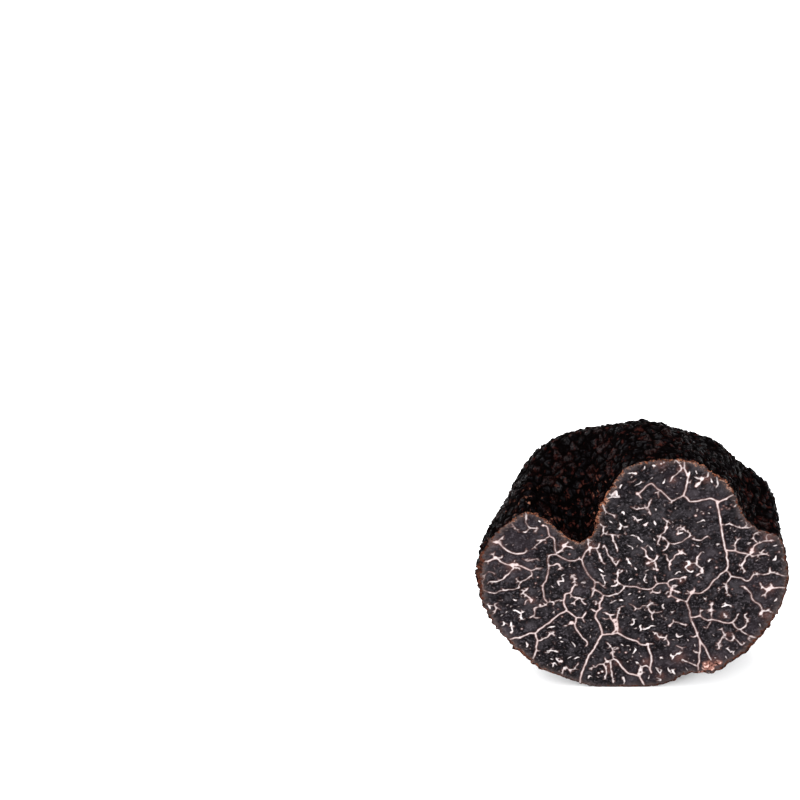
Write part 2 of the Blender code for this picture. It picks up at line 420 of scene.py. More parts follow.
# routes of the veins over the face, x and z in pairs
routes = {
    "main": [
        (16.9, 54.0, 17.3, 52.5, 17.8, 50.5, 18.3, 48.0, 18.7, 46.0, 19.1, 44.0, 19.6, 42.0, 19.9, 40.6,
         20.4, 39.4, 20.4, 38.3, 20.8, 37.0, 20.9, 35.5, 20.6, 34.6),
        (20.6, 34.6, 21.4, 33.8, 21.8, 33.0, 23.0, 32.6, 24.2, 32.4, 25.1, 31.7, 26.0, 31.7, 26.4, 32.5,
         26.9, 33.4),
        (20.6, 34.6, 19.5, 33.5, 18.8, 32.4, 17.9, 31.4, 17.4, 30.1, 16.4, 28.7, 15.2, 27.9, 13.9, 28.0,
         13.2, 27.3, 12.9, 26.4, 12.5, 25.4),
        (12.5, 25.4, 12.9, 24.1, 13.4, 22.8, 13.6, 21.4, 14.0, 20.0, 14.6, 18.6, 15.2, 17.2, 15.6, 15.9,
         16.2, 14.5, 16.8, 13.3, 17.6, 12.2, 18.2, 10.8, 18.8, 9.4, 19.4, 8.2),
        (9.2, 64.4, 9.3, 62.9, 9.8, 61.6, 10.3, 60.7, 10.2, 59.6, 10.1, 58.3, 9.9, 56.7, 9.6, 55.4),
        (9.6, 55.4, 10.4, 54.8, 11.2, 53.8, 12.6, 53.9, 14.2, 54.3, 15.6, 54.6, 16.9, 54.0, 17.8, 53.9,
         18.9, 54.6, 20.6, 55.7),
        (9.6, 55.4, 8.6, 54.8, 7.2, 54.1, 5.8, 55.5, 4.6, 56.8, 3.8, 57.3, 2.5, 58.7, 1.4, 58.0, 0.4, 56.6,
         -0.2, 55.9),
        (-31.5, 42.6, -30.2, 42.4, -29.3, 41.3, -28.2, 40.2, -27.0, 39.5, -26.0, 39.3, -24.8, 39.4,
         -24.0, 39.8),
        (-33.6, 37.2, -32.2, 37.3, -31.0, 37.9, -30.2, 37.8, -29.5, 37.0, -28.0, 36.2, -26.8, 36.1,
         -25.5, 36.0, -24.3, 35.4, -22.8, 34.5),
        (-20.8, 47.2, -19.8, 47.0, -19.4, 46.0, -19.0, 44.3, -18.1, 43.6, -17.8, 42.5, -17.7, 41.0,
         -17.4, 39.6, -17.2, 39.0, -15.8, 38.0, -14.5, 37.3, -13.2, 37.3, -12.3, 37.7, -11.6, 37.5,
         -11.3, 36.3, -10.6, 34.6, -9.9, 33.3, -9.2, 32.3, -8.5, 31.6, -8.4, 30.5, -8.4, 29.3, -7.2, 28.4,
         -6.3, 27.4),
        (-17.2, 39.0, -18.4, 39.0, -19.0, 38.4, -19.1, 37.0, -18.9, 35.9, -18.9, 34.5, -19.1, 33.0,
         -19.4, 31.5, -20.0, 30.2, -19.8, 28.5, -19.5, 26.6, -18.8, 25.5),
        (-11.6, 37.5, -11.1, 39.3, -10.4, 40.4, -10.0, 40.8, -8.9, 40.9, -8.2, 41.0, -7.9, 42.2),
        (-27.3, 14.3, -25.8, 14.9, -24.6, 15.0, -23.4, 15.7, -22.2, 16.3, -21.2, 16.3, -20.4, 17.3,
         -19.2, 18.5, -18.0, 19.6, -16.8, 21.1, -15.6, 22.2, -14.4, 23.1, -14.8, 24.3, -15.1, 25.3,
         -15.0, 26.8, -14.8, 27.9, -13.8, 28.2, -13.3, 29.5, -12.8, 30.8),
        (-14.4, 23.1, -13.4, 22.2, -12.6, 21.4, -12.2, 21.0, -12.1, 20.0, -12.3, 19.0, -12.0, 17.6,
         -11.2, 16.3, -10.4, 14.9, -9.6, 14.1, -9.2, 13.3, -9.5, 12.4),
        (-6.3, 27.4, -6.6, 26.2, -7.0, 25.2, -7.0, 24.0, -6.9, 23.5, -7.5, 22.6, -7.8, 21.5, -7.6, 20.6,
         -7.0, 19.6, -6.5, 18.3, -6.1, 16.8, -5.9, 16.0, -4.8, 16.0, -3.6, 16.1, -2.6, 16.4, -2.0, 16.1,
         -0.6, 15.1, 0.8, 14.4, 2.0, 14.0, 2.8, 13.1, 3.8, 12.8, 4.6, 13.1),
        (-5.9, 16.0, -6.6, 14.6, -7.2, 12.8, -7.9, 11.0, -8.7, 9.6, -9.2, 7.6, -9.8, 5.4, -10.2, 3.4,
         -10.4, 1.2), (4.6, 13.0, 4.8, 11.8, 5.2, 10.6, 5.6, 9.4, 5.7, 8.0, 5.6, 6.8, 5.5, 5.8, 5.9, 4.5),
        (-2.8, 22.0, -2.9, 20.5, -2.6, 18.6, -2.5, 16.5),
        (-4.6, 21.7, -4.2, 20.6, -3.5, 19.6, -3.1, 18.2, -3.1, 17.1, -3.8, 16.3),
        (-1.8, 30.1, -0.5, 30.0, 0.9, 29.9, 2.0, 29.4, 3.3, 29.2, 4.3, 29.3, 5.0, 30.0, 5.7, 30.8, 6.8, 30.9,
         7.8, 30.8, 8.2, 30.0, 8.8, 29.3, 8.8, 28.3, 8.8, 27.5, 9.6, 26.8, 10.6, 26.2, 11.6, 25.8,
         12.5, 25.4),
        (-3.1, 8.8, -2.7, 8.5, -2.2, 8.2, -1.6, 7.3, -1.1, 6.4, -0.3, 5.4, 0.6, 4.4, 1.7, 4.0, 3.0, 3.6,
         3.6, 2.6, 4.2, 1.4, 4.7, 0.2),
        (13.8, 20.9, 14.8, 21.0, 15.8, 21.3, 16.8, 20.5, 17.8, 20.1, 18.6, 20.3, 20.0, 20.0, 21.2, 19.5,
         22.4, 19.3, 23.3, 19.5, 24.0, 18.3, 24.8, 17.6, 25.5, 17.5),
        (20.0, 40.4, 20.9, 40.2, 22.3, 40.0, 23.4, 39.5, 24.6, 39.3, 25.3, 39.0, 25.6, 39.2, 26.0, 40.2,
         26.2, 41.3, 27.0, 42.2),
        (28.5, 31.0, 29.0, 30.0, 29.8, 29.3, 30.4, 28.7, 31.2, 29.4, 32.3, 29.6, 34.6, 29.6),
        (16.3, 14.2, 16.5, 12.6, 16.6, 11.0, 16.5, 9.4, 16.7, 8.0, 16.5, 6.8, 16.7, 5.2),
        (-21.2, 16.3, -20.9, 15.0, -20.6, 13.9, -20.8, 12.6, -20.8, 11.2, -21.1, 9.8, -21.7, 8.0),
        (25.0, 30.1, 26.0, 28.9, 26.8, 27.8, 27.0, 26.7, 27.8, 25.6, 28.7, 25.0, 29.4, 24.0, 29.6, 23.0,
         29.5, 22.0),
    ],
    "branch": [
        (26.9, 33.4, 28.2, 33.5, 29.6, 33.4, 30.7, 34.0, 32.0, 33.6, 33.5, 33.1, 35.0, 32.8),
        (30.7, 34.0, 30.3, 34.6, 30.4, 35.3), (26.9, 33.4, 26.7, 34.0),
        (21.8, 33.0, 21.4, 31.6, 20.9, 30.5, 21.0, 29.8, 21.3, 28.5, 21.5, 27.8, 21.4, 27.3),
        (20.9, 30.5, 20.2, 30.9),
        (18.5, 47.5, 19.2, 47.4, 20.2, 47.6, 21.1, 47.3, 22.2, 46.7, 23.5, 46.5, 24.5, 46.6, 25.6, 46.9),
        (23.5, 46.6, 24.3, 47.4), (25.3, 39.0, 26.4, 38.6, 27.6, 39.0, 29.0, 39.1, 30.0, 38.6),
        (25.3, 39.0, 24.6, 38.0, 24.4, 36.9, 24.0, 36.0, 24.4, 35.0, 24.9, 34.2),
        (24.0, 36.0, 23.4, 36.1, 23.5, 36.6), (27.0, 42.2, 28.2, 42.7, 29.6, 43.0, 30.6, 43.0),
        (27.0, 42.2, 26.2, 43.1, 25.8, 44.0, 26.2, 44.9, 26.8, 45.5), (26.2, 40.0, 26.6, 39.6),
        (28.0, 39.2, 28.1, 39.8, 28.5, 40.5), (29.2, 39.2, 29.4, 39.7),
        (22.3, 40.0, 22.1, 41.3, 22.0, 42.4, 22.6, 43.2, 23.0, 43.8), (22.4, 43.1, 21.9, 44.0),
        (7.1, 65.2, 8.2, 63.9, 8.6, 62.9, 8.2, 61.7, 7.2, 60.8, 6.6, 59.6, 6.4, 59.1), (8.6, 62.8, 9.3, 62.7),
        (7.2, 54.1, 7.1, 53.4), (-0.2, 55.9, -0.7, 56.3), (-0.2, 55.9, 0.5, 54.8), (10.2, 59.0, 10.9, 58.7),
        (2.7, 54.7, 2.4, 53.6, 2.0, 52.3, 1.0, 52.1, -0.3, 51.8, -1.6, 52.4),
        (2.0, 52.3, 2.6, 50.9, 2.8, 50.3), (1.5, 52.2, 1.4, 52.9),
        (-8.9, 53.7, -7.8, 52.8, -7.1, 51.2, -6.0, 50.4, -5.2, 50.0, -4.9, 49.3),
        (-30.2, 42.5, -29.9, 43.3, -29.0, 44.4), (-24.0, 39.8, -24.1, 40.8),
        (-24.6, 51.2, -24.3, 50.0, -24.4, 48.5, -24.0, 47.3, -23.3, 46.5, -22.2, 46.5, -21.9, 46.0,
         -22.4, 45.6), (-22.0, 46.9, -21.9, 46.3), (-23.3, 46.5, -24.2, 45.5, -24.9, 45.4),
        (-19.0, 44.2, -20.0, 43.3, -20.8, 43.0, -21.7, 41.8, -22.8, 40.6),
        (-17.4, 39.4, -16.3, 40.2, -15.8, 41.2, -15.4, 42.0, -14.8, 42.7),
        (-15.5, 41.4, -14.4, 41.2, -13.6, 40.6), (-12.3, 37.7, -12.2, 38.4), (-19.0, 38.4, -19.3, 39.1),
        (-20.0, 30.2, -20.4, 30.1), (-18.9, 35.8, -17.8, 36.1, -16.8, 36.4, -16.2, 35.4, -15.6, 35.2),
        (-16.3, 35.4, -16.8, 34.7), (-22.8, 34.5, -21.5, 35.1, -20.3, 35.3), (-26.6, 36.3, -26.4, 37.5),
        (-31.0, 38.0, -31.2, 38.9, -31.8, 39.5), (-31.1, 38.9, -31.0, 40.0),
        (-30.4, 38.3, -29.4, 38.2, -29.2, 38.8), (-32.3, 37.3, -32.4, 36.4),
        (-27.0, 35.9, -26.8, 35.0, -27.8, 33.6, -28.7, 32.5, -29.6, 31.7, -31.0, 31.4, -32.1, 31.5),
        (-26.8, 35.4, -25.6, 35.3, -25.0, 34.5),
        (-22.8, 34.5, -22.6, 33.2, -23.6, 32.2, -24.6, 31.5, -25.1, 31.2, -25.9, 32.0, -26.1, 32.3),
        (-25.1, 31.2, -25.3, 30.3, -25.4, 29.6, -26.5, 29.2, -28.0, 29.0, -29.5, 28.7, -30.8, 28.1,
         -32.2, 28.5, -33.5, 29.1),
        (-23.2, 29.7, -23.9, 28.8, -24.3, 28.0, -23.7, 27.5, -23.0, 26.9, -22.4, 26.3),
        (-24.3, 28.0, -24.9, 27.9), (-22.9, 26.3, -23.6, 25.7, -23.9, 24.8), (-22.4, 26.3, -22.4, 25.2),
        (-18.8, 25.5, -17.8, 25.6, -17.3, 25.2, -17.6, 24.6),
        (-18.8, 25.5, -19.2, 24.6, -20.0, 24.3, -20.8, 24.0, -21.8, 23.7, -21.5, 22.8, -21.7, 21.7,
         -22.1, 21.3, -22.8, 20.9), (-20.3, 24.9, -20.5, 24.2), (-21.9, 21.3, -21.2, 20.8, -20.3, 21.0),
        (-14.0, 33.4, -13.3, 32.7, -13.0, 31.8, -12.8, 30.8), (-13.1, 31.9, -12.4, 32.2),
        (-12.8, 30.7, -12.3, 30.2),
        (-13.8, 28.1, -13.2, 27.1, -12.3, 26.8, -11.5, 26.7, -11.2, 26.2, -10.7, 25.3, -10.0, 24.8),
        (-15.3, 25.9, -16.3, 26.3), (-11.9, 26.6, -12.5, 25.9, -12.8, 25.1, -12.4, 24.5),
        (-12.2, 21.0, -11.2, 20.9, -10.5, 21.2, -10.0, 22.8), (-10.6, 20.6, -10.2, 19.6),
        (-20.6, 13.9, -19.4, 14.5, -18.4, 15.2, -17.6, 16.1, -16.7, 16.7), (-20.8, 11.2, -20.0, 11.0),
        (-30.0, 25.3, -30.6, 24.8, -30.3, 23.8, -30.5, 22.6, -31.2, 21.9), (-30.3, 24.0, -29.3, 23.3),
        (-14.6, 3.6, -14.3, 5.3, -14.2, 6.0, -13.4, 5.6, -12.8, 5.2, -11.8, 5.6, -11.3, 6.6, -11.0, 7.4),
        (-12.8, 5.2, -12.6, 4.1), (-10.4, 44.6, -10.5, 43.0, -10.3, 41.5, -10.0, 40.8, -10.0, 39.2),
        (-8.6, 40.8, -7.9, 39.2, -7.2, 37.5, -6.9, 36.8, -6.3, 36.4), (-8.3, 47.8, -7.3, 46.9, -6.6, 47.0),
        (-7.3, 46.9, -7.3, 45.6, -6.8, 44.9, -5.8, 44.7, -5.0, 44.7, -4.3, 44.5, -3.8, 43.9),
        (-7.2, 45.3, -7.6, 44.2), (-5.1, 44.6, -5.0, 43.0, -4.4, 42.0, -4.0, 40.8, -3.8, 39.8),
        (-6.9, 41.8, -6.4, 40.8, -6.0, 39.5, -5.6, 38.6, -4.8, 38.0, -4.8, 37.3, -4.0, 36.4, -3.5, 37.1,
         -3.2, 37.9),
        (5.4, 49.5, 6.1, 48.8, 6.6, 48.3, 6.5, 47.0, 6.4, 46.0, 5.9, 45.2, 5.3, 44.4, 5.1, 43.0, 4.7, 41.9),
        (6.6, 48.3, 7.0, 48.7),
        (4.5, 44.5, 5.3, 44.3, 6.3, 43.7, 7.4, 42.4, 8.8, 42.2, 10.2, 42.8, 11.4, 43.9, 11.9, 45.0,
         10.9, 45.6, 10.3, 46.3, 8.9, 46.8), (10.3, 46.3, 10.4, 46.9),
        (7.4, 42.4, 7.0, 41.2, 6.4, 40.3, 6.0, 40.2), (6.4, 41.6, 7.0, 41.3),
        (1.4, 41.1, 2.3, 40.3, 2.6, 39.0, 3.0, 38.2, 4.0, 37.6, 4.5, 37.4, 4.9, 38.2, 5.0, 39.1),
        (4.5, 37.4, 4.9, 36.3, 5.0, 35.3, 5.5, 34.7), (4.9, 35.0, 4.0, 35.0),
        (4.5, 37.2, 3.4, 36.9, 2.8, 36.3),
        (12.2, 43.7, 13.0, 43.3, 14.2, 43.2, 15.0, 43.6, 15.4, 44.2, 15.9, 44.2),
        (14.8, 39.8, 14.2, 39.0, 13.9, 38.0, 13.9, 36.9, 14.4, 35.8, 15.1, 35.2, 15.4, 34.5, 15.2, 33.8,
         14.5, 33.5, 14.1, 32.9), (13.9, 36.9, 13.0, 36.6, 12.3, 36.9),
        (9.5, 40.6, 9.9, 39.7, 9.1, 39.0, 8.6, 38.0, 8.0, 37.0, 7.9, 35.8, 8.1, 34.6),
        (9.9, 39.7, 10.7, 39.6, 11.5, 39.0), (8.0, 36.8, 7.3, 37.8, 7.1, 39.0, 6.3, 39.3),
        (10.1, 39.8, 10.6, 40.5), (7.8, 30.8, 8.4, 31.8, 9.3, 32.1, 10.6, 32.3, 11.9, 32.8),
        (10.5, 32.2, 10.8, 31.2), (-8.4, 29.3, -8.6, 28.3, -9.1, 26.8), (-8.4, 29.3, -9.3, 29.6),
        (-8.4, 31.5, -7.4, 31.0, -6.6, 30.1, -5.8, 29.5),
        (-6.3, 27.4, -5.0, 27.3, -3.6, 27.8, -2.4, 28.6, -1.9, 29.6, -1.8, 30.1, -2.8, 30.8, -3.4, 31.5,
         -3.4, 32.8, -3.4, 33.6, -3.5, 34.8), (-3.4, 33.6, -4.4, 33.7), (-3.4, 33.6, -2.7, 34.3, -2.4, 34.8),
        (-3.4, 31.5, -4.6, 32.0), (5.7, 30.8, 5.1, 31.9, 4.9, 33.0), (4.5, 29.2, 4.6, 28.4, 4.2, 27.9),
        (4.6, 28.4, 5.4, 28.2, 6.6, 28.1), (-7.1, 25.2, -7.9, 25.1), (-6.9, 23.6, -6.3, 23.8),
        (-7.5, 22.6, -8.2, 23.0, -8.7, 23.5), (-6.7, 26.4, -7.2, 26.8), (8.9, 29.0, 9.8, 28.6, 10.9, 28.1),
        (8.8, 28.3, 7.9, 28.4),
        (-0.3, 24.9, 0.6, 24.4, 1.3, 23.6, 2.2, 23.7, 2.9, 24.4, 3.9, 24.4, 4.5, 25.0, 5.3, 24.7, 6.0, 24.6),
        (4.5, 25.0, 4.3, 26.0), (1.3, 23.6, 0.8, 23.0),
        (4.0, 24.3, 4.2, 23.2, 4.9, 22.2, 5.9, 22.4, 7.2, 22.6), (4.9, 22.2, 5.0, 21.0, 5.3, 20.1),
        (-1.4, 24.4, -2.3, 23.9, -2.6, 23.0, -2.8, 22.0), (-3.2, 21.9, -4.5, 21.8, -5.4, 22.2, -5.7, 22.6),
        (-4.6, 20.6, -5.4, 20.5, -6.2, 20.8), (4.6, 13.1, 5.8, 13.2), (9.9, 20.3, 9.9, 19.6, 9.3, 18.6),
        (10.0, 19.7, 11.2, 19.3, 12.4, 18.8, 13.2, 18.7),
        (5.8, 15.9, 6.3, 16.4, 6.8, 15.3, 7.6, 15.0, 8.4, 15.0, 8.9, 14.2, 9.3, 13.3, 9.4, 12.6),
        (8.5, 15.0, 8.7, 15.8), (-5.0, 13.7, -4.2, 12.9, -3.8, 12.3, -3.4, 11.3, -3.3, 10.0, -3.1, 8.8),
        (-3.2, 11.4, -2.7, 11.6, -2.3, 12.1), (-3.1, 8.6, -3.8, 8.1, -4.5, 7.9, -5.0, 9.0),
        (-4.5, 7.9, -5.2, 7.2, -6.2, 6.9, -7.0, 6.2, -7.7, 5.9, -8.0, 5.2), (-7.2, 6.2, -7.7, 6.7),
        (-5.2, 7.1, -4.7, 6.0, -4.4, 4.8, -4.6, 3.4, -4.6, 2.6),
        (-3.6, 8.0, -3.5, 6.0, -3.2, 4.4, -2.9, 2.6, -2.7, 1.5), (-2.9, 2.2, -2.3, 2.0),
        (2.9, 7.1, 3.6, 6.4, 4.6, 6.6, 5.4, 5.9), (3.4, 6.4, 3.1, 5.0, 3.0, 3.6),
        (3.7, 6.3, 3.7, 4.6, 3.4, 3.2), (16.5, 10.6, 15.6, 10.6, 15.1, 11.2),
        (15.6, 15.6, 14.8, 15.2, 14.2, 15.3), (15.6, 15.9, 15.9, 16.5), (23.3, 19.5, 24.0, 20.8, 24.5, 22.2),
        (15.8, 21.3, 15.8, 22.4, 15.7, 23.6), (18.6, 20.3, 18.4, 21.6, 18.3, 22.6, 17.8, 22.9, 17.2, 23.1),
        (18.3, 22.8, 18.2, 24.0, 18.2, 24.8, 17.8, 25.6), (18.3, 22.9, 18.9, 23.1),
        (17.6, 24.6, 18.2, 24.8, 18.6, 24.9), (18.3, 20.1, 18.1, 18.8, 17.6, 17.8, 16.9, 18.1),
        (25.5, 17.5, 26.2, 18.3, 26.5, 19.4, 26.7, 20.2, 26.1, 21.0, 25.8, 21.8, 26.4, 21.9),
        (26.6, 20.0, 27.1, 19.8), (25.2, 17.4, 26.0, 16.6, 27.2, 15.8, 27.8, 15.4, 29.2, 15.0),
        (27.5, 15.4, 27.3, 14.6, 27.9, 14.0), (24.7, 17.4, 24.3, 16.9),
        (21.0, 18.0, 21.3, 17.0, 21.7, 15.7, 21.2, 14.7, 20.9, 13.5, 20.6, 12.8, 20.9, 12.2, 20.6, 11.4),
        (21.7, 15.7, 22.3, 16.3), (21.9, 15.2, 22.6, 14.4, 23.3, 14.1, 24.0, 14.7, 23.9, 15.6, 23.4, 16.4),
        (24.1, 14.8, 24.8, 14.2, 25.4, 13.4, 26.0, 12.9, 26.6, 13.3, 26.8, 13.8), (20.9, 13.2, 20.1, 13.4),
        (29.6, 22.7, 30.4, 22.9, 31.1, 23.0, 32.2, 22.4), (31.1, 23.0, 31.3, 23.6), (29.5, 22.0, 29.1, 21.5),
        (29.5, 22.0, 30.0, 21.5), (30.3, 28.8, 29.9, 27.6, 30.1, 26.6), (30.9, 31.0, 31.2, 30.0, 31.6, 29.6),
        (29.2, 30.0, 28.8, 29.2), (24.2, 30.0, 25.0, 30.1), (21.6, 27.9, 22.2, 27.4),
        (14.0, 29.5, 13.9, 28.6, 13.5, 28.0), (12.4, 28.7, 13.0, 28.1), (11.8, 27.8, 12.8, 27.7),
        (10.0, 28.6, 11.0, 28.1), (12.0, 60.2, 12.7, 60.0, 13.6, 60.2, 14.4, 60.6, 14.6, 61.8),
        (13.4, 60.0, 13.0, 58.9, 12.3, 58.0), (12.6, 8.6, 13.6, 7.9, 15.0, 7.2, 16.3, 6.4),
        (-14.0, 19.0, -12.3, 19.2), (-14.0, 18.6, -14.8, 18.4),
    ],
    "mark": [
        (-7.4, 54.5, -6.0, 54.9, -4.6, 55.0, -4.1, 54.9),
        (-5.9, 55.2, -5.6, 56.4, -4.9, 56.6, -4.9, 55.6, -4.2, 55.2), (-6.6, 56.0, -6.0, 55.3),
        (-6.0, 58.6, -5.8, 58.0), (-3.9, 58.5, -4.3, 57.4), (-2.9, 61.4, -1.9, 61.6, -1.0, 61.2),
        (-1.2, 58.0, -0.3, 58.6, 0.3, 59.3), (2.1, 59.9, 2.6, 60.4), (5.4, 60.0, 5.1, 59.2, 4.9, 58.6),
        (-6.3, 48.7, -5.3, 47.8), (-4.0, 48.3, -3.3, 47.2, -2.4, 46.9, -1.8, 46.8),
        (-3.3, 47.2, -3.7, 46.3, -4.3, 46.3), (-3.6, 50.7, -3.2, 51.0, -3.0, 50.2),
        (-1.2, 49.9, -0.5, 49.5, 0.1, 48.7, 1.1, 49.2), (1.1, 47.5, 1.9, 47.6, 2.4, 48.2),
        (1.6, 47.1, 2.0, 47.4), (3.7, 48.6, 4.1, 47.4), (3.0, 46.0, 3.4, 46.3),
        (9.0, 44.8, 9.8, 45.2, 10.3, 45.3),
        (-1.3, 44.5, -0.6, 44.5, 0.3, 44.2, 0.8, 43.4, 1.4, 42.9, 1.5, 42.4),
        (-2.0, 42.0, -1.3, 41.5, -0.7, 41.2, -0.6, 40.6), (2.8, 41.8, 3.5, 40.9, 4.0, 40.2),
        (2.7, 38.6, 1.8, 38.4), (2.6, 36.9, 2.9, 36.4), (3.4, 34.9, 2.6, 34.5),
        (31.2, 37.4, 31.3, 38.0, 31.4, 38.8), (30.7, 37.2, 31.2, 38.0), (30.4, 41.4, 31.3, 41.8),
        (32.4, 38.3, 33.2, 37.4), (32.4, 35.4, 33.0, 34.8), (13.0, 48.0, 13.8, 48.2, 14.4, 48.8, 14.9, 48.3),
        (15.3, 50.8, 15.9, 50.3), (13.3, 41.7, 14.2, 41.4), (14.9, 40.0, 15.5, 39.6),
        (16.5, 38.0, 16.8, 37.5, 16.4, 37.0), (15.3, 35.3, 15.7, 35.6), (15.2, 34.0, 15.9, 33.8),
        (11.3, 37.0, 12.1, 37.4, 12.3, 36.6, 11.5, 35.6, 11.9, 34.8, 12.9, 34.1, 13.3, 34.6),
        (-7.8, 35.2, -7.0, 34.4, -6.5, 34.1), (-7.2, 33.6, -6.8, 33.0, -6.6, 32.2, -6.2, 31.4, -6.2, 30.8),
        (-6.7, 33.0, -5.9, 33.1), (-1.9, 38.5, -1.4, 37.6, -1.0, 36.8, -0.6, 36.5), (-1.0, 36.8, -1.4, 36.5),
        (0.2, 35.5, 0.7, 34.7), (-1.6, 34.8, -1.4, 34.0), (-0.9, 31.6, -0.4, 32.3, 0.1, 32.2),
        (2.4, 33.8, 3.2, 33.4), (2.9, 33.3, 2.5, 32.3, 2.7, 31.4, 3.3, 31.1), (-0.9, 27.6, -0.1, 27.9),
        (1.5, 26.8, 2.1, 27.0), (2.6, 26.9, 2.9, 27.3), (-4.8, 25.2, -4.0, 25.6, -3.2, 26.1),
        (-2.6, 25.7, -2.2, 26.1, -1.8, 25.9), (7.4, 25.0, 7.2, 24.1, 7.6, 23.4), (9.0, 22.8, 9.8, 22.0),
        (0.6, 20.7, 1.0, 20.4, 1.6, 20.6), (1.0, 20.4, 1.0, 19.4, 0.5, 18.7, 0.1, 18.9),
        (-3.2, 30.9, -3.8, 30.3, -4.7, 30.0), (2.7, 18.9, 2.5, 18.2, 2.7, 17.6, 2.5, 16.8),
        (2.8, 17.5, 3.8, 17.6, 4.4, 17.9, 4.8, 18.4, 6.0, 18.4), (8.8, 29.3, 9.3, 30.2, 10.3, 30.3),
        (9.3, 33.3, 9.8, 34.1, 10.4, 34.2, 10.6, 33.8), (3.9, 14.8, 4.1, 14.2),
        (11.0, 16.2, 10.9, 15.5, 11.7, 15.1, 12.4, 15.7), (1.5, 12.2, 1.9, 11.4, 1.6, 10.7, 1.2, 10.3),
        (-1.5, 13.1, -1.0, 12.6), (-8.6, 2.6, -8.2, 3.4, -7.6, 3.1),
        (-1.0, 3.2, -0.4, 3.2, -0.2, 2.0, -0.2, 0.8), (2.0, 7.9, 2.8, 7.4), (7.4, 9.2, 8.4, 8.7),
        (10.0, 10.4, 10.1, 9.6, 10.6, 9.4, 10.4, 8.2), (10.6, 9.4, 11.6, 10.0, 12.2, 10.3),
        (6.7, 6.3, 7.2, 5.4, 7.9, 4.4, 8.3, 5.5), (7.9, 4.4, 8.0, 3.6), (9.6, 6.3, 9.9, 5.2, 10.5, 4.2),
        (10.5, 5.6, 11.0, 4.7, 11.4, 4.0), (5.4, 3.8, 5.4, 2.6), (7.2, 2.9, 8.1, 2.6, 8.1, 1.9),
        (19.1, 15.9, 19.6, 15.4), (16.0, 26.9, 16.5, 26.3, 16.9, 26.2), (18.9, 26.7, 19.3, 26.1),
        (21.1, 25.5, 21.4, 24.7, 22.2, 24.6, 22.7, 23.8), (21.4, 24.5, 20.5, 23.9),
        (21.1, 22.4, 21.5, 21.5, 21.9, 20.9), (32.7, 27.0, 32.5, 26.0, 32.1, 25.6),
        (29.3, 19.2, 29.6, 18.8, 29.8, 18.0), (22.3, 11.8, 23.1, 11.4, 23.6, 10.6, 24.0, 11.0),
        (24.6, 11.0, 24.2, 10.3, 24.7, 9.6), (22.5, 9.6, 23.0, 8.6), (20.0, 9.0, 20.6, 8.8),
        (11.2, 10.0, 12.0, 10.4, 12.7, 10.7), (13.7, 6.0, 14.2, 5.2), (13.4, 14.6, 13.8, 13.8),
        (11.2, 14.4, 11.6, 14.0), (-26.5, 26.3, -25.7, 25.8),
        (-26.6, 23.2, -25.6, 22.9, -24.6, 22.3, -23.8, 22.8), (-24.6, 22.3, -24.6, 21.2, -24.2, 20.3),
        (-25.1, 21.0, -24.6, 21.1), (-32.5, 25.0, -31.9, 24.4, -31.6, 23.3), (-27.7, 22.9, -28.0, 22.3),
        (-29.2, 21.4, -28.5, 21.9), (-28.6, 20.0, -28.3, 19.0, -29.0, 18.5),
        (-26.7, 19.7, -26.8, 18.8, -26.5, 17.7, -26.4, 16.9, -26.9, 16.4),
        (-18.6, 17.8, -17.6, 18.2, -16.8, 18.4), (-23.1, 13.6, -22.9, 12.6, -23.0, 12.0),
        (-15.8, 15.0, -15.2, 15.0), (-15.6, 14.0, -14.7, 13.6), (-12.9, 13.8, -12.3, 13.0, -11.9, 12.1),
        (-18.3, 11.2, -18.2, 10.4), (-18.3, 10.9, -17.0, 11.1, -15.7, 10.5), (-17.6, 8.7, -16.8, 8.3),
        (-16.2, 9.0, -15.7, 8.0, -15.0, 7.8, -14.6, 8.0), (-18.1, 6.4, -18.0, 7.0),
        (-16.9, 6.1, -16.5, 7.3, -15.8, 6.5), (-13.5, 8.6, -12.6, 9.3), (-12.2, 8.4, -11.5, 9.0, -10.8, 9.0),
        (-15.9, 32.9, -15.2, 33.5), (-15.9, 32.9, -15.5, 31.9, -15.3, 31.2), (-16.8, 31.5, -16.2, 30.2),
        (-16.8, 31.4, -15.6, 31.6), (-18.2, 30.3, -17.5, 29.6), (-21.6, 48.6, -21.1, 48.1),
        (16.3, 60.5, 16.7, 59.4, 16.8, 58.2, 16.5, 57.3), (15.1, 60.3, 15.4, 59.4, 15.7, 58.8),
        (11.5, 60.5, 12.1, 60.1), (11.8, 62.2, 12.1, 61.3), (10.3, 61.2, 10.5, 62.0), (2.2, 63.6, 3.2, 63.4),
        (0.8, 63.3, 0.7, 62.6), (7.4, 59.8, 7.6, 59.3),
    ],
    "faint": [
        (-27.6, 48.0, -26.8, 46.8, -25.8, 45.4), (-27.7, 46.8, -27.0, 46.9), (-29.8, 43.0, -29.5, 42.2),
        (-24.8, 37.8, -23.6, 37.3, -22.5, 37.6, -21.5, 37.9, -21.0, 37.4),
        (-32.5, 34.2, -31.5, 34.1, -30.5, 33.5), (-32.6, 34.0, -33.2, 32.5, -33.5, 31.0, -33.3, 29.5),
        (4.2, 57.0, 4.1, 55.8, 4.3, 54.8), (-2.6, 59.1, -1.6, 59.2, -0.9, 59.8), (6.6, 51.4, 7.3, 51.1),
        (28.9, 43.0, 28.7, 44.0, 28.8, 44.8), (11.0, 12.6, 12.2, 12.0, 13.4, 12.0), (3.8, 8.6, 4.0, 7.4),
        (18.2, 37.2, 18.4, 36.8), (26.5, 12.0, 27.4, 12.6),
    ],
}

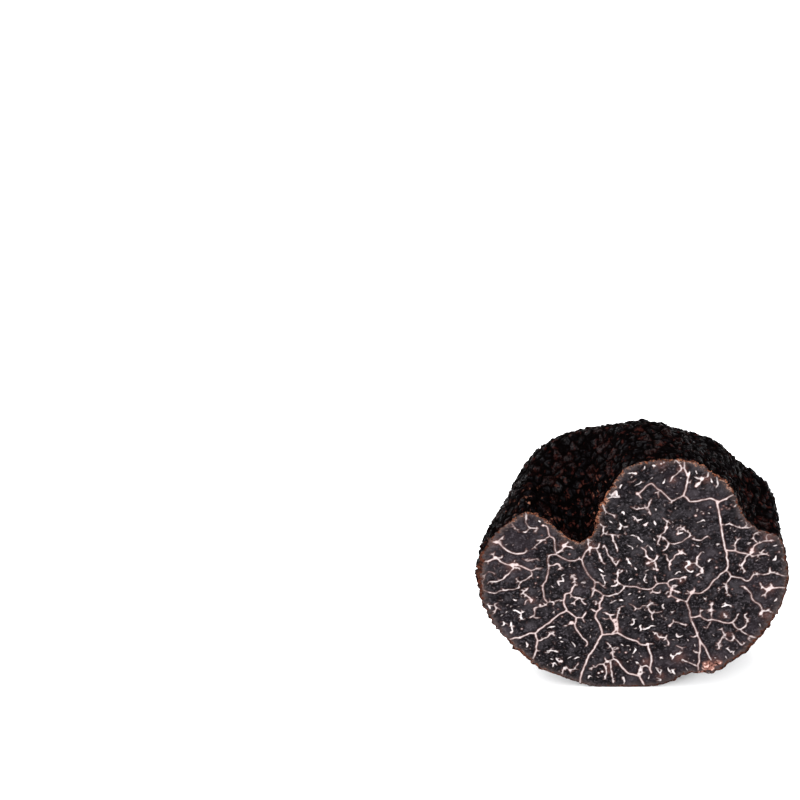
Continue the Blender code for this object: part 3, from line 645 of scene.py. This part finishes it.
# where the veins swell, with radius, and the single specks
knots = [
    (-30.7, 42.6, 0.55), (-20.5, 47.2, 0.35), (-15.7, 41.5, 0.60), (-27.0, 36.1, 0.60), (-26.0, 36.2, 0.50),
    (-30.8, 38.2, 0.50), (10.2, 61.0, 0.50), (-0.4, 56.0, 0.42), (-5.2, 56.3, 0.42), (-1.1, 61.4, 0.38),
    (6.5, 46.7, 0.50), (1.9, 47.5, 0.40), (9.1, 44.9, 0.36), (17.2, 53.6, 0.50), (25.8, 39.7, 0.55),
    (25.8, 40.5, 0.40), (30.6, 29.2, 0.65), (31.4, 29.6, 0.40), (11.6, 32.6, 0.42), (10.3, 39.6, 0.50),
    (8.0, 36.4, 0.40), (5.3, 34.8, 0.38), (3.2, 36.8, 0.42), (-3.4, 20.2, 0.50), (-3.0, 19.0, 0.60),
    (-2.8, 17.8, 0.50), (-13.1, 19.4, 0.60), (4.5, 13.1, 0.45), (8.9, 29.0, 0.45), (8.4, 27.0, 0.36),
    (13.4, 28.1, 0.50), (10.5, 25.7, 0.42), (29.5, 22.2, 0.50), (18.2, 23.0, 0.42), (9.2, 18.5, 0.42),
    (-4.4, 7.8, 0.45), (3.3, 5.4, 0.50), (3.1, 4.2, 0.50), (13.3, 59.9, 0.50), (12.7, 58.7, 0.45),
    (12.2, 58.0, 0.42), (-14.1, 5.7, 0.42), (-12.8, 5.1, 0.38), (-22.4, 26.1, 0.45), (-7.9, 24.9, 0.25),
    (-14.9, 7.8, 0.42), (-9.8, 41.0, 0.45), (14.0, 28.9, 0.25), (15.3, 34.4, 0.42), (12.1, 36.9, 0.36),
    (-5.4, 4.8, 0.36), (-6.2, 4.3, 0.30), (-24.6, 15.0, 0.36), (19.0, 54.5, 0.32), (20.9, 52.4, 0.22),
    (18.3, 51.7, 0.20), (19.2, 52.1, 0.17), (19.9, 51.9, 0.17), (18.6, 52.6, 0.17), (20.2, 52.9, 0.18),
    (12.7, 49.9, 0.34), (14.3, 50.5, 0.24), (15.7, 52.2, 0.24), (12.7, 41.8, 0.24), (18.9, 39.5, 0.22),
    (18.4, 35.4, 0.30), (-21.2, 32.6, 0.24), (-21.6, 30.9, 0.22), (-19.8, 42.3, 0.24), (-20.7, 44.4, 0.18),
    (-14.4, 39.1, 0.24), (-24.3, 17.6, 0.24), (-16.3, 23.4, 0.17), (-15.3, 21.2, 0.22), (1.7, 28.5, 0.26),
    (0.8, 33.4, 0.20), (2.4, 14.7, 0.20), (-0.3, 10.6, 0.30), (-1.8, 10.7, 0.17), (14.8, 31.3, 0.22),
    (4.2, 64.0, 0.30), (4.8, 64.3, 0.25), (22.4, 29.2, 0.20), (31.9, 39.8, 0.24), (27.2, 30.2, 0.15),
    (7.0, 33.2, 0.15), (-2.3, 44.9, 0.18), (-9.9, 39.0, 0.20), (19.4, 29.4, 0.26),
]

# places where the flesh blushes pink-brown round the veins, with radius
blushes = [
    (8.8, 62.6, 0.9), (14.3, 59.9, 1.0), (7.0, 59.6, 0.8), (-15.9, 41.8, 1.0), (-27.0, 35.7, 1.2),
    (-4.0, 6.4, 0.8), (-3.9, 5.0, 0.7), (4.6, 7.8, 1.0), (6.9, 15.2, 0.8), (-2.5, 17.0, 0.8),
    (-9.7, 41.3, 1.1), (-31.2, 42.7, 1.1), (30.7, 29.2, 1.2), (26.0, 40.2, 0.9), (12.2, 35.8, 1.2),
    (3.6, 36.8, 0.9), (-22.3, 26.0, 0.9), (11.9, 9.0, 1.4), (20.0, 7.6, 1.6), (29.2, 44.0, 1.3),
    (-8.6, 52.4, 0.8), (-8.6, 47.5, 0.9), (4.2, 64.0, 1.2), (-2.0, 7.4, 0.8), (21.2, 21.8, 0.9),
    (31.0, 21.5, 1.2), (10.8, 31.4, 0.7), (22.6, 16.0, 0.7), (8.2, 3.4, 1.0),
]


# a smooth curve through the points: between two of them, the cubic whose slope at each point is half the
# way from the point before to the point after
def smoothRoute(flatPairs, gap):
    points = np.array(flatPairs, float).reshape(-1, 2)
    padded = np.vstack([2 * points[0] - points[1], points, 2 * points[-1] - points[-2]])
    a, b, c, d = padded[:-3], padded[1:-2], padded[2:-1], padded[3:]
    count = max(4, int(np.max(np.linalg.norm(c - b, axis=1)) / gap) + 1)
    t = (np.arange(count) / count)[None, :, None]
    a, b, c, d = (p[:, None, :] for p in (a, b, c, d))
    curve = b + 0.5 * t * (c - a + t * (2 * a - 5 * b + 4 * c - d + t * (3 * (b - c) + d - a)))
    return np.vstack([curve.reshape(-1, 2), points[-1]])


# a route as a run of discs, x, z, radius, whiteness and warmth: the radius is the kind's half width times
# two slow sine waves and a taper to each end, and a third wave shifts the discs a little to the side
def routeDiscs(route, kind, random):
    half, whiteness, warmth = veins[kind]
    curve = smoothRoute(route, 0.06)
    length = np.sum(np.linalg.norm(np.diff(curve, axis=0), axis=1))
    along = np.linspace(0, 1, len(curve))
    start = random.uniform(0, 6.3, 4)
    loose = 0.5 if kind == "main" else 1.0
    waver = 0.20 * np.sin(along * length * 2.1 + start[0]) + 0.16 * np.sin(along * length * 5.3 + start[1])
    tip = 1 - (0.15 if kind == "main" else 0.45) * (1 - ease(0, 0.5, np.minimum(along, 1 - along) * length))
    radius = half * (1 + loose * waver) * tip * random.uniform(0.85, 1.18)
    side = 0.06 * loose * np.sin(along * length * 3.7 + start[2])
    level = whiteness * random.uniform(0.86, 1.05) * (0.92 + 0.10 * np.sin(along * length * 1.7 + start[3]))
    warm = np.full(len(curve), warmth)
    return np.column_stack([curve[:, 0] + side, curve[:, 1] - side, radius, level, warm])


# short thorns: each starts on a vein and leaves it at a steep angle, with one bend
def spurRoutes(spine, random):
    spurs = []
    for _ in range(veins["spurs"]):
        at = random.integers(2, len(spine) - 2)
        step = spine[at + 2, :2] - spine[at - 2, :2]
        if np.hypot(*step) > 0.6:
            continue
        angle = np.arctan2(step[1], step[0]) + random.choice((-1, 1)) * random.uniform(*veins["spurLean"])
        reach = random.uniform(*veins["spurReach"])
        bend = angle + random.uniform(-veins["spurBend"], veins["spurBend"])
        x, z = spine[at, :2]
        middleX, middleZ = x + 0.5 * reach * np.cos(angle), z + 0.5 * reach * np.sin(angle)
        tipX, tipZ = middleX + 0.5 * reach * np.cos(bend), middleZ + 0.5 * reach * np.sin(bend)
        spurs.append((x, z, middleX, middleZ, tipX, tipZ))
    return spurs


# loose scraps: short bent strokes dropped at random where no vein is close
def fleckRoutes(spine, random):
    flecks = []
    for _ in range(veins["flecks"]):
        x, z = (random.uniform(*sides) for sides in veins["fleckArea"])
        angle, bend = random.uniform(0, 6.3), random.uniform(-veins["fleckBend"], veins["fleckBend"])
        reach = random.uniform(*veins["fleckReach"])
        if np.min(np.hypot(spine[:, 0] - x, spine[:, 1] - z)) < veins["clear"] + reach:
            continue
        ends = [(x + reach * np.cos(angle), z + reach * np.sin(angle)), (x, z),
                (x - reach * np.cos(angle + bend), z - reach * np.sin(angle + bend))]
        flecks.append(tuple(np.ravel(ends)))
    return flecks


# the plan of the veins: for every cell, the distance to the nearest vein's edge, negative inside, and that
# vein's whiteness and warmth. Each route is a run of discs whose radius wavers; a small blur of the
# distances fills the corners where veins meet
def veinPlan():
    cell = veins["cell"]
    low = np.array(veins["planFrom"])
    shape = tuple(int(side / cell) for side in veins["planSize"])
    far = np.full(shape, veins["reach"])
    white = np.full(shape, 0.8)
    warm = np.full(shape, 0.3)
    random = np.random.default_rng(veins["seed"])
    discs = [routeDiscs(route, kind, random) for kind, group in routes.items() for route in group]
    spine = np.vstack(discs)
    thorny = np.vstack(discs[len(routes["main"]):])
    discs += [routeDiscs(spur, "spur", random) for spur in spurRoutes(thorny, random)]
    discs += [routeDiscs(fleck, "fleck", random) for fleck in fleckRoutes(spine, random)]
    share, tone = veins["knotShare"], veins["knotTone"]
    discs.append(np.array([(x, z, share * radius, *tone) for x, z, radius in knots]))
    for x, z, radius, level, warmth in np.vstack(discs):
        span = int((veins["reach"] + radius) / cell) + 1
        i, j = int((x - low[0]) / cell), int((z - low[1]) / cell)
        window = (slice(i - span, i + span + 1), slice(j - span, j + span + 1))
        gx = low[0] + (np.arange(i - span, i + span + 1) + 0.5) * cell - x
        gz = low[1] + (np.arange(j - span, j + span + 1) + 0.5) * cell - z
        away = np.sqrt(gx[:, None] ** 2 + gz[None, :] ** 2) - radius
        closer = away < far[window]
        for plan, value in ((far, away), (white, level), (warm, warmth)):
            plan[window] = np.where(closer, value, plan[window])
    return low, cell, [blurPlan(far, veins["web"] / cell), blurPlan(white, 2), blurPlan(warm, 4)]


# round blur: each row and column wave is damped by how short it is
def blurPlan(plan, sigma):
    waves = np.fft.rfft2(plan)
    fx = np.fft.fftfreq(plan.shape[0])[:, None]
    fz = np.fft.rfftfreq(plan.shape[1])[None, :]
    return np.fft.irfft2(waves * np.exp(-2 * (np.pi * sigma) ** 2 * (fx ** 2 + fz ** 2)), plan.shape)


# a plan's value at any point: the four cells round it, weighted by nearness
def readPlan(plan, low, cell, x, z):
    i = np.clip((x - low[0]) / cell - 0.5, 0, plan.shape[0] - 2)
    j = np.clip((z - low[1]) / cell - 0.5, 0, plan.shape[1] - 2)
    i0, j0 = i.astype(int), j.astype(int)
    fi, fj = i - i0, j - j0
    upper = plan[i0, j0] * (1 - fi) + plan[i0 + 1, j0] * fi
    lower = plan[i0, j0 + 1] * (1 - fi) + plan[i0 + 1, j0 + 1] * fi
    return upper * (1 - fj) + lower * fj


# the face has two parts. A narrow lip runs square in from the rough edge of the rind to a smooth line, and
# from there every point is middle + share * (smooth line - middle). The face swells a little, the veins
# stand a hair proud of the flesh, and the torn crumb low on the right is rough
face = {
    "middle": (-1.5, 26.0),
    "lip": 0.8,                  # width of the lip
    "lipRings": 10,              # rings of quads across it
    "lipLook": 12,               # points to each side from which its direction is read
    "swell": (0.18, 13.0, 31),   # height, length over which it changes, and seed
    "grain": (0.035, 0.9, 32),
    "veinRise": 0.05,
    "crumb": (19.1, 6.5, 2.5, 1.45, 0.55),   # x, z, half length, half width, slope in radians
    "crumbRise": 0.60,
    "crumbTorn": (0.45, 1.1, 33),   # the bites in its outline
    "crumbLump": (0.6, 0.7, 34),
    # noise of the look: waves to a metre, detail, roughness
    "raggedNoise": (2300, 3, 0.6),
    "grainNoise": (3400, 3, 0.75),
    "mottleNoise": (330, 3, 0.6),
    "cloudNoise": (60, 2),
    "crystalNoise": (1850, 1.5, 0.6),
    "rippleNoise": (1100, 3, 0.7),
    "lumpNoise": (760, 2.5, 0.6),
    "flesh": (0.0104, 0.0089, 0.0104),
    "cloud": (0.040, 0.029, 0.036),
    "dark": (0.0010, 0.0007, 0.0010),
    "pale": (0.054, 0.047, 0.053),
    "veinWhite": (0.66, 0.605, 0.605),
    "veinPink": (0.50, 0.35, 0.33),
    "blush": (0.115, 0.055, 0.048),
    "rimHaze": (0.066, 0.048, 0.045),
    "rimDark": (0.010, 0.0040, 0.0030),
    "rimRust": (0.052, 0.0150, 0.0085),
    "rimTan": (0.27, 0.105, 0.058),
    "rimPale": (0.42, 0.27, 0.21),
    "crumbDark": (0.014, 0.005, 0.004),
    "crumbPink": (0.22, 0.100, 0.078),
    # pale pink on the crumb: partly its pale flesh, partly a painted highlight
    "crumbPaleAndHighlight": (0.62, 0.38, 0.33),
    # where the rim is wider, and where it is brighter: place, radius, how much
    "rimWidths": [((-36, -11, 34), 8.0, 0.85), ((32, -11, 16), 7.0, 0.60), ((25, -11, 8), 6.0, 0.45),
                  ((-25, -11, 9), 7.0, 0.35), ((11, -11, 1), 7.0, 0.35), ((36, -11, 33), 6.0, 0.30),
                  ((-8, -11, 50), 5.0, 0.20), ((3, -11, 0), 5.0, 0.30)],
    "rimZones": [((-8, -11, 53), 7.0, 0.9), ((5, -11, 65), 12.0, 0.6), ((-24, -11, 50), 6.0, 0.6),
                 ((18, -11, 60), 8.0, 0.5), ((-15, -11, 43), 5.0, 0.5), ((-22, -11, 8), 7.0, 0.3)],
}


# distance in the plane of the cut from each point to the nearest point of the edge
def edgeDistance(x, z, edge):
    flat = np.stack([x.ravel(), z.ravel()], axis=-1)
    ring = edge[:, [0, 2]]
    far = np.empty(len(flat))
    for part in np.array_split(np.arange(len(flat)), 32):
        far[part] = np.sqrt(np.maximum(np.min(squaredAway(flat[part], ring), axis=1), 0))
    return far.reshape(x.shape)


# the face over its square grid: lip and inside as said above, each point moved out of the plane of the cut
# by drift, vein and crumb, which fade to nothing at the edge, and the numbers that its look needs
def faceShape(ringTurn, edge):
    turn, out, u, v = discGrid(body["steps"])
    smooth = skinPoints(evenTurn(ringTurn), np.zeros_like(ringTurn))[:, [0, 2]]
    smooth[:, 1] = settle(smooth[:, 1])
    look, lipShare = face["lipLook"], face["lipRings"] / (body["steps"] // 2)
    along = np.roll(smooth, -look, axis=0) - np.roll(smooth, look, axis=0)
    inward = np.stack([-along[:, 1], along[:, 0]], axis=-1) / np.linalg.norm(along, axis=1)[:, None]
    lip = smooth + face["lip"] * inward
    lipX, lipZ, edgeX, edgeZ = (np.interp(turn, ringTurn, side, period=2 * np.pi)
                                for side in (lip[:, 0], lip[:, 1], edge[:, 0], edge[:, 2]))
    inside = np.clip(out / (1 - lipShare), 0, 1)
    across = np.clip((out - 1 + lipShare) / lipShare, 0, 1)
    x = face["middle"][0] + inside * (lipX - face["middle"][0]) + across * (edgeX - lipX)
    z = face["middle"][1] + inside * (lipZ - face["middle"][1]) + across * (edgeZ - lipZ)
    fromEdge = edgeDistance(x, z, edge)
    low, cell, plans = veinPlan()
    far, white, warm = (readPlan(plan, low, cell, x, z) for plan in plans)
    inner = ease(0.0, 0.9, fromEdge)
    place = np.stack([x, np.zeros_like(x), z], axis=-1)
    rise = driftOf(place, face["swell"]) + driftOf(place, face["grain"])
    rise += face["veinRise"] * ease(0.12, -0.15, far)
    crumbX, crumbZ, crumbLong, crumbWide, slope = face["crumb"]
    alongCrumb = (x - crumbX) * np.cos(slope) + (z - crumbZ) * np.sin(slope)
    acrossCrumb = (z - crumbZ) * np.cos(slope) - (x - crumbX) * np.sin(slope)
    fromCrumb = np.hypot(alongCrumb / crumbLong, acrossCrumb / crumbWide)
    crumb = ease(1.05, 0.80, fromCrumb + driftOf(place, face["crumbTorn"]))
    rise += face["crumbRise"] * crumb * (0.6 + driftOf(place, face["crumbLump"]))
    points = np.stack([x, cutY - rise * inner, z], axis=-1)
    blush = np.zeros_like(x)
    for bx, bz, radius in blushes:
        blush = np.maximum(blush, np.exp(-((x - bx) ** 2 + (z - bz) ** 2) / radius ** 2))
    rimGlow = np.clip(0.10 + zoneSum(points, face["rimZones"]), 0, 1)
    rimWidth = 0.10 + 0.30 * rimGlow + zoneSum(points, face["rimWidths"])
    paint = {"veinFar": far, "veinWhite": white, "veinWarm": warm, "crumb": crumb, "blush": blush,
             "edge": fromEdge, "rimGlow": rimGlow, "rimWidth": rimWidth}
    return points, u, v, paint


# an empty material and its node maker: make(kind, inputs, settings) adds a node, links the inputs that are
# sockets and sets the others, so constants stand on the sockets themselves
def newMaterial(name):
    material = bpy.data.materials.new(name)
    material.use_nodes = True
    tree = material.node_tree
    tree.nodes.clear()

    def make(kind, inputs=None, **settings):
        made = tree.nodes.new(kind)
        for key, value in settings.items():
            setattr(made, key, value)
        for key, value in (inputs or {}).items():
            socket = made.inputs[key]
            if isinstance(value, bpy.types.NodeSocket):
                tree.links.new(value, socket)
            else:
                socket.default_value = value
        return made

    return material, make


# red, green and blue with full opacity
def colour(rgb):
    return (rgb[0], rgb[1], rgb[2], 1.0)


# value moved from low..high to 0..1, softly
def fadeNode(make, value, low, high):
    return make("ShaderNodeMapRange", {"Value": value, "From Min": low, "From Max": high},
                interpolation_type="SMOOTHSTEP").outputs["Result"]


def mathNode(make, operation, a, b=0.0):
    return make("ShaderNodeMath", {0: a, 1: b}, operation=operation).outputs[0]


def timesNode(make, a, b):
    return mathNode(make, "MULTIPLY", a, b)


# a where amount is 0, b where it is 1
def mixNode(make, amount, a, b):
    made = make("ShaderNodeMix", data_type="RGBA")
    tree = made.id_data
    for socket, value in ((made.inputs[0], amount), (made.inputs[6], a), (made.inputs[7], b)):
        if isinstance(value, bpy.types.NodeSocket):
            tree.links.new(value, socket)
        elif isinstance(value, tuple):
            socket.default_value = colour(value)
        else:
            socket.default_value = value
    return made.outputs[2]


def noiseNode(make, place, scale, detail=3.0, rough=0.55):
    return make("ShaderNodeTexNoise", {"Vector": place, "Scale": scale, "Detail": detail, "Roughness": rough}
                ).outputs["Fac"]


def attributeNode(make, name):
    return make("ShaderNodeAttribute", attribute_name=name).outputs["Fac"]


# the rind's look: black, a painted highlight of grey on the wart tops, red-brown and tan flakes, painted
# shade that darkens the grooves, small glints from the gloss
def rindMaterial():
    material, make = newMaterial("truffle rind")
    place = make("ShaderNodeTexCoord").outputs["Object"]
    dome = attributeNode(make, "dome")
    wartLuck = attributeNode(make, "wartLuck")
    grainLuck = attributeNode(make, "grainLuck")
    fine, patch, flake = (noiseNode(make, place, *rind[name]) for name in ("fine", "patch", "flake"))
    # painted highlight: grey laid on the wart tops where the patch noise is high, standing in for glints
    paintedGlintAmount = timesNode(make, fadeNode(make, patch, 0.40, 0.66), fadeNode(make, dome, 0.1, 0.9))
    base = mixNode(make, paintedGlintAmount, rind["black"], rind["paintedGlintGrey"])
    flaked = timesNode(make, fadeNode(make, flake, 0.56, 0.66), attributeNode(make, "rusty"))
    base = mixNode(make, flaked, base, rind["rust"])
    wholeWart = timesNode(make, fadeNode(make, wartLuck, 0.78, 0.9), fadeNode(make, fine, 0.40, 0.66))
    wholeWart = timesNode(make, wholeWart, attributeNode(make, "rusty"))
    base = mixNode(make, timesNode(make, wholeWart, 0.6), base, rind["rust"])
    tanned = timesNode(make, fadeNode(make, flake, 0.60, 0.68), attributeNode(make, "tanned"))
    tanned = timesNode(make, tanned, fadeNode(make, grainLuck, 0.35, 0.5))
    base = mixNode(make, tanned, base, rind["tan"])
    # painted shade: in the grooves between warts the colour is pulled most of the way to near-black
    groove = fadeNode(make, dome, 0.0, 0.35)
    base = mixNode(make, groove, mixNode(make, 0.88, base, rind["paintedGrooveShade"]), base)
    crust = make("ShaderNodeTexVoronoi", {"Vector": place, "Scale": rind["crust"]}).outputs["Distance"]
    relief = mathNode(make, "ADD", timesNode(make, fine, 0.7), timesNode(make, crust, 0.8))
    bump = make("ShaderNodeBump", {"Strength": 0.6, "Distance": 0.00022, "Height": relief}).outputs["Normal"]
    rough = make("ShaderNodeMapRange", {"Value": patch, "From Min": 0.3, "From Max": 0.7,
                                        "To Min": 0.58, "To Max": 0.38}).outputs["Result"]
    shine = mathNode(make, "ADD", patch, timesNode(make, wartLuck, 0.22))
    glossy = timesNode(make, fadeNode(make, dome, 0.30, 1.0), fadeNode(make, shine, 0.56, 0.80))
    glossy = timesNode(make, glossy, fadeNode(make, fine, 0.40, 0.58))
    gloss = make("ShaderNodeMapRange", {"Value": glossy, "To Min": 0.002, "To Max": 0.10}).outputs["Result"]
    surface = make("ShaderNodeBsdfPrincipled", {"Base Color": base, "Roughness": rough, "Normal": bump,
                                                "Specular IOR Level": gloss})
    make("ShaderNodeOutputMaterial", {"Surface": surface.outputs[0]})
    return material


# the cut's look: speckled flesh, blushes, veins with a soft halo, the ragged rim and the crumb, each laid
# over the one before
def faceMaterial():
    material, make = newMaterial("cut flesh")
    place = make("ShaderNodeTexCoord").outputs["Object"]
    far, white, warm = (attributeNode(make, name) for name in ("veinFar", "veinWhite", "veinWarm"))
    crumb, blush, edge = (attributeNode(make, name) for name in ("crumb", "blush", "edge"))
    ragged = noiseNode(make, place, *face["raggedNoise"])
    shifted = mathNode(make, "ADD", far, timesNode(make, mathNode(make, "SUBTRACT", ragged, 0.5), 0.10))
    grain = noiseNode(make, place, *face["grainNoise"])
    mottle = noiseNode(make, place, *face["mottleNoise"])
    cloud = noiseNode(make, place, *face["cloudNoise"])
    crystal = noiseNode(make, place, *face["crystalNoise"])
    flesh = mixNode(make, fadeNode(make, grain, 0.34, 0.62), face["dark"], face["flesh"])
    flesh = mixNode(make, timesNode(make, fadeNode(make, crystal, 0.54, 0.68), 0.75), flesh, face["pale"])
    flesh = mixNode(make, timesNode(make, fadeNode(make, crystal, 0.48, 0.38), 0.80), flesh, face["dark"])
    flesh = mixNode(make, timesNode(make, fadeNode(make, mottle, 0.45, 0.75), 0.5), flesh, face["pale"])
    flesh = mixNode(make, timesNode(make, fadeNode(make, cloud, 0.5, 0.62), 0.22), flesh, face["cloud"])
    nearVein = fadeNode(make, shifted, 0.75, 0.12)
    flesh = mixNode(make, timesNode(make, nearVein, 0.45), flesh, face["dark"])
    blushAmount = timesNode(make, blush, fadeNode(make, grain, 0.25, 0.6))
    flesh = mixNode(make, timesNode(make, blushAmount, 0.60), flesh, face["blush"])
    halo = timesNode(make, fadeNode(make, shifted, 0.30, 0.02), warm)
    flesh = mixNode(make, timesNode(make, halo, 0.75), flesh, face["blush"])
    pinkness = timesNode(make, warm, fadeNode(make, mottle, 0.3, 0.7))
    tone = mixNode(make, pinkness, face["veinWhite"], face["veinPink"])
    vein = mixNode(make, white, face["blush"], tone)
    core = fadeNode(make, shifted, 0.07, -0.09)
    skin = mixNode(make, core, flesh, vein)
    ripple = mathNode(make, "SUBTRACT", noiseNode(make, place, *face["rippleNoise"]), 0.5)
    beyond = mathNode(make, "SUBTRACT", edge, attributeNode(make, "rimWidth"))
    beyond = mathNode(make, "ADD", beyond, timesNode(make, ripple, 2.6))
    under = timesNode(make, fadeNode(make, beyond, 1.5, 0.0), 0.42)
    skin = mixNode(make, under, skin, face["rimHaze"])
    glow = attributeNode(make, "rimGlow")
    tanRim = timesNode(make, fadeNode(make, beyond, 0.55, 0.05), glow)
    tanRim = timesNode(make, tanRim, fadeNode(make, ragged, 0.38, 0.58))
    tanTone = mixNode(make, fadeNode(make, grain, 0.35, 0.65), face["rimTan"], face["rimPale"])
    skin = mixNode(make, timesNode(make, tanRim, fadeNode(make, mottle, 0.42, 0.60)), skin, tanTone)
    rustTone = mixNode(make, fadeNode(make, crystal, 0.42, 0.62), face["rimDark"], face["rimRust"])
    lit = timesNode(make, timesNode(make, glow, 0.80), fadeNode(make, ragged, 0.44, 0.62))
    rustTone = mixNode(make, lit, rustTone, face["rimTan"])
    skin = mixNode(make, fadeNode(make, beyond, 0.12, -0.12), skin, rustTone)
    lump = noiseNode(make, place, *face["lumpNoise"])
    crumbTone = mixNode(make, fadeNode(make, ripple, -0.10, 0.05), face["crumbDark"], face["crumbPink"])
    # the pale pink laid on by the lump noise is partly the crumb's pale flesh, partly a painted highlight
    crumbTone = mixNode(make, fadeNode(make, lump, 0.50, 0.62), crumbTone, face["crumbPaleAndHighlight"])
    skin = mixNode(make, crumb, skin, crumbTone)
    relief = mathNode(make, "ADD", timesNode(make, grain, 0.8), timesNode(make, core, 0.35))
    bump = make("ShaderNodeBump", {"Strength": 0.45, "Distance": 0.00012, "Height": relief}).outputs["Normal"]
    rough = make("ShaderNodeMapRange", {"Value": grain, "To Min": 0.48, "To Max": 0.70}).outputs["Result"]
    surface = make("ShaderNodeBsdfPrincipled", {"Base Color": skin, "Roughness": rough, "Normal": bump,
                                                "Specular IOR Level": 0.02})
    make("ShaderNodeOutputMaterial", {"Surface": surface.outputs[0]})
    return material


# a grid piece with its painted numbers and its material
def addPiece(name, points, u, v, paint, material, wrap=False, flip=False):
    piece = gridPiece(name, points, u, v, wrap, flip)
    for layer, values in paint.items():
        paintOnto(piece, layer, values)
    piece.data.materials.append(material)
    print(name + ":", len(piece.data.polygons), "quads")
    return piece


capRings = body["steps"] // 2
seam = capRings / (capRings + body["bandRings"])
rindLook = rindMaterial()
turn, out, u, v = bandGrid(body["steps"], body["bandRings"], seam)
bandPoints, paint = rindShape(turn, out)
bandPiece = addPiece("rind", bandPoints, u, v, paint, rindLook, wrap=True, flip=True)
ringTurn, edge = turn[-1], bandPoints[-1]
turn, out, u, v = discGrid(body["steps"])
backPoints, paint = rindShape(turn, out * seam)
backPiece = addPiece("rind_back", backPoints, u, v, paint, rindLook, flip=True)
facePoints, u, v, paint = faceShape(ringTurn, edge)
facePiece = addPiece("cut_face", facePoints, u, v, paint, faceMaterial())

for piece, slot in ((bandPiece, "rind"), (backPiece, "rind"), (facePiece, "flesh")):
    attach(piece, "root")
    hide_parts(node)

studio = {
    "floorSize": 6.0,
    "floorColour": (0.90, 0.90, 0.905),
    "world": 1.12,
    "lights": [                  # place, aim, side, watts
        ("overhead", (-0.30, 0.25, 0.95), (0, 0, 0.02), 0.70, 11.0),
        ("front", (-0.55, -0.85, 0.55), (0, 0, 0.03), 0.70, 8.0),
        ("right", (0.85, -0.40, 0.42), (0, 0, 0.03), 0.80, 7.0),
        ("left", (-0.95, -0.05, 0.50), (0, 0, 0.02), 0.80, 4.2),
    ],
    "lens": 100.0,
    "camera": (-0.0519, -0.3968, 0.3457),   # its place, in metres
    "pitch": 34.5,               # degrees below the horizon
}


# a lamp's turn from place to aim: its back is the way from aim to place, its right is level
def lookRotation(place, aim):
    back = np.array(place, float) - np.array(aim, float)
    back /= np.linalg.norm(back)
    right = np.cross((0, 0, 1), back)
    right /= np.linalg.norm(right)
    up = np.cross(back, right)
    return Matrix((right, up, back)).transposed().to_4x4()


# a white floor, the soft lamps, a white world and the camera
def setStudio():
    half = studio["floorSize"] / 2
    mesh = bpy.data.meshes.new("floor")
    corners = [(-half, -half, 0), (half, -half, 0), (half, half, 0), (-half, half, 0)]
    mesh.from_pydata(corners, [], [(0, 1, 2, 3)])
    floor = bpy.data.objects.new("floor", mesh)
    bpy.context.scene.collection.objects.link(floor)
    material, make = newMaterial("floor")
    surface = make("ShaderNodeBsdfPrincipled", {"Base Color": colour(studio["floorColour"]), "Roughness": 0.8,
                                                "Specular IOR Level": 0.1})
    make("ShaderNodeOutputMaterial", {"Surface": surface.outputs[0]})
    mesh.materials.append(material)
    for name, place, aim, side, watts in studio["lights"]:
        lamp = bpy.data.lights.new(name, "AREA")
        lamp.energy = watts
        lamp.size = side
        lampObject = bpy.data.objects.new(name, lamp)
        lampObject.matrix_world = Matrix.Translation(place) @ lookRotation(place, aim)
        bpy.context.scene.collection.objects.link(lampObject)
    world = bpy.data.worlds.new("studio")
    bpy.context.scene.world = world
    world.use_nodes = True
    sky = world.node_tree.nodes["Background"].inputs
    sky["Color"].default_value = (1, 1, 1, 1)
    sky["Strength"].default_value = studio["world"]
    camera = bpy.data.objects.new("camera", bpy.data.cameras.new("camera"))
    camera.data.lens = studio["lens"]
    camera.data.sensor_width = 36.0
    camera.data.clip_start = 0.01
    camera.location = studio["camera"]
    camera.rotation_euler = (np.radians(90 - studio["pitch"]), 0, 0)
    bpy.context.scene.collection.objects.link(camera)
    bpy.context.scene.camera = camera
    bpy.context.scene.view_settings.view_transform = "Standard"
    bpy.context.scene.view_settings.look = "None"


setStudio()
print("studio set")
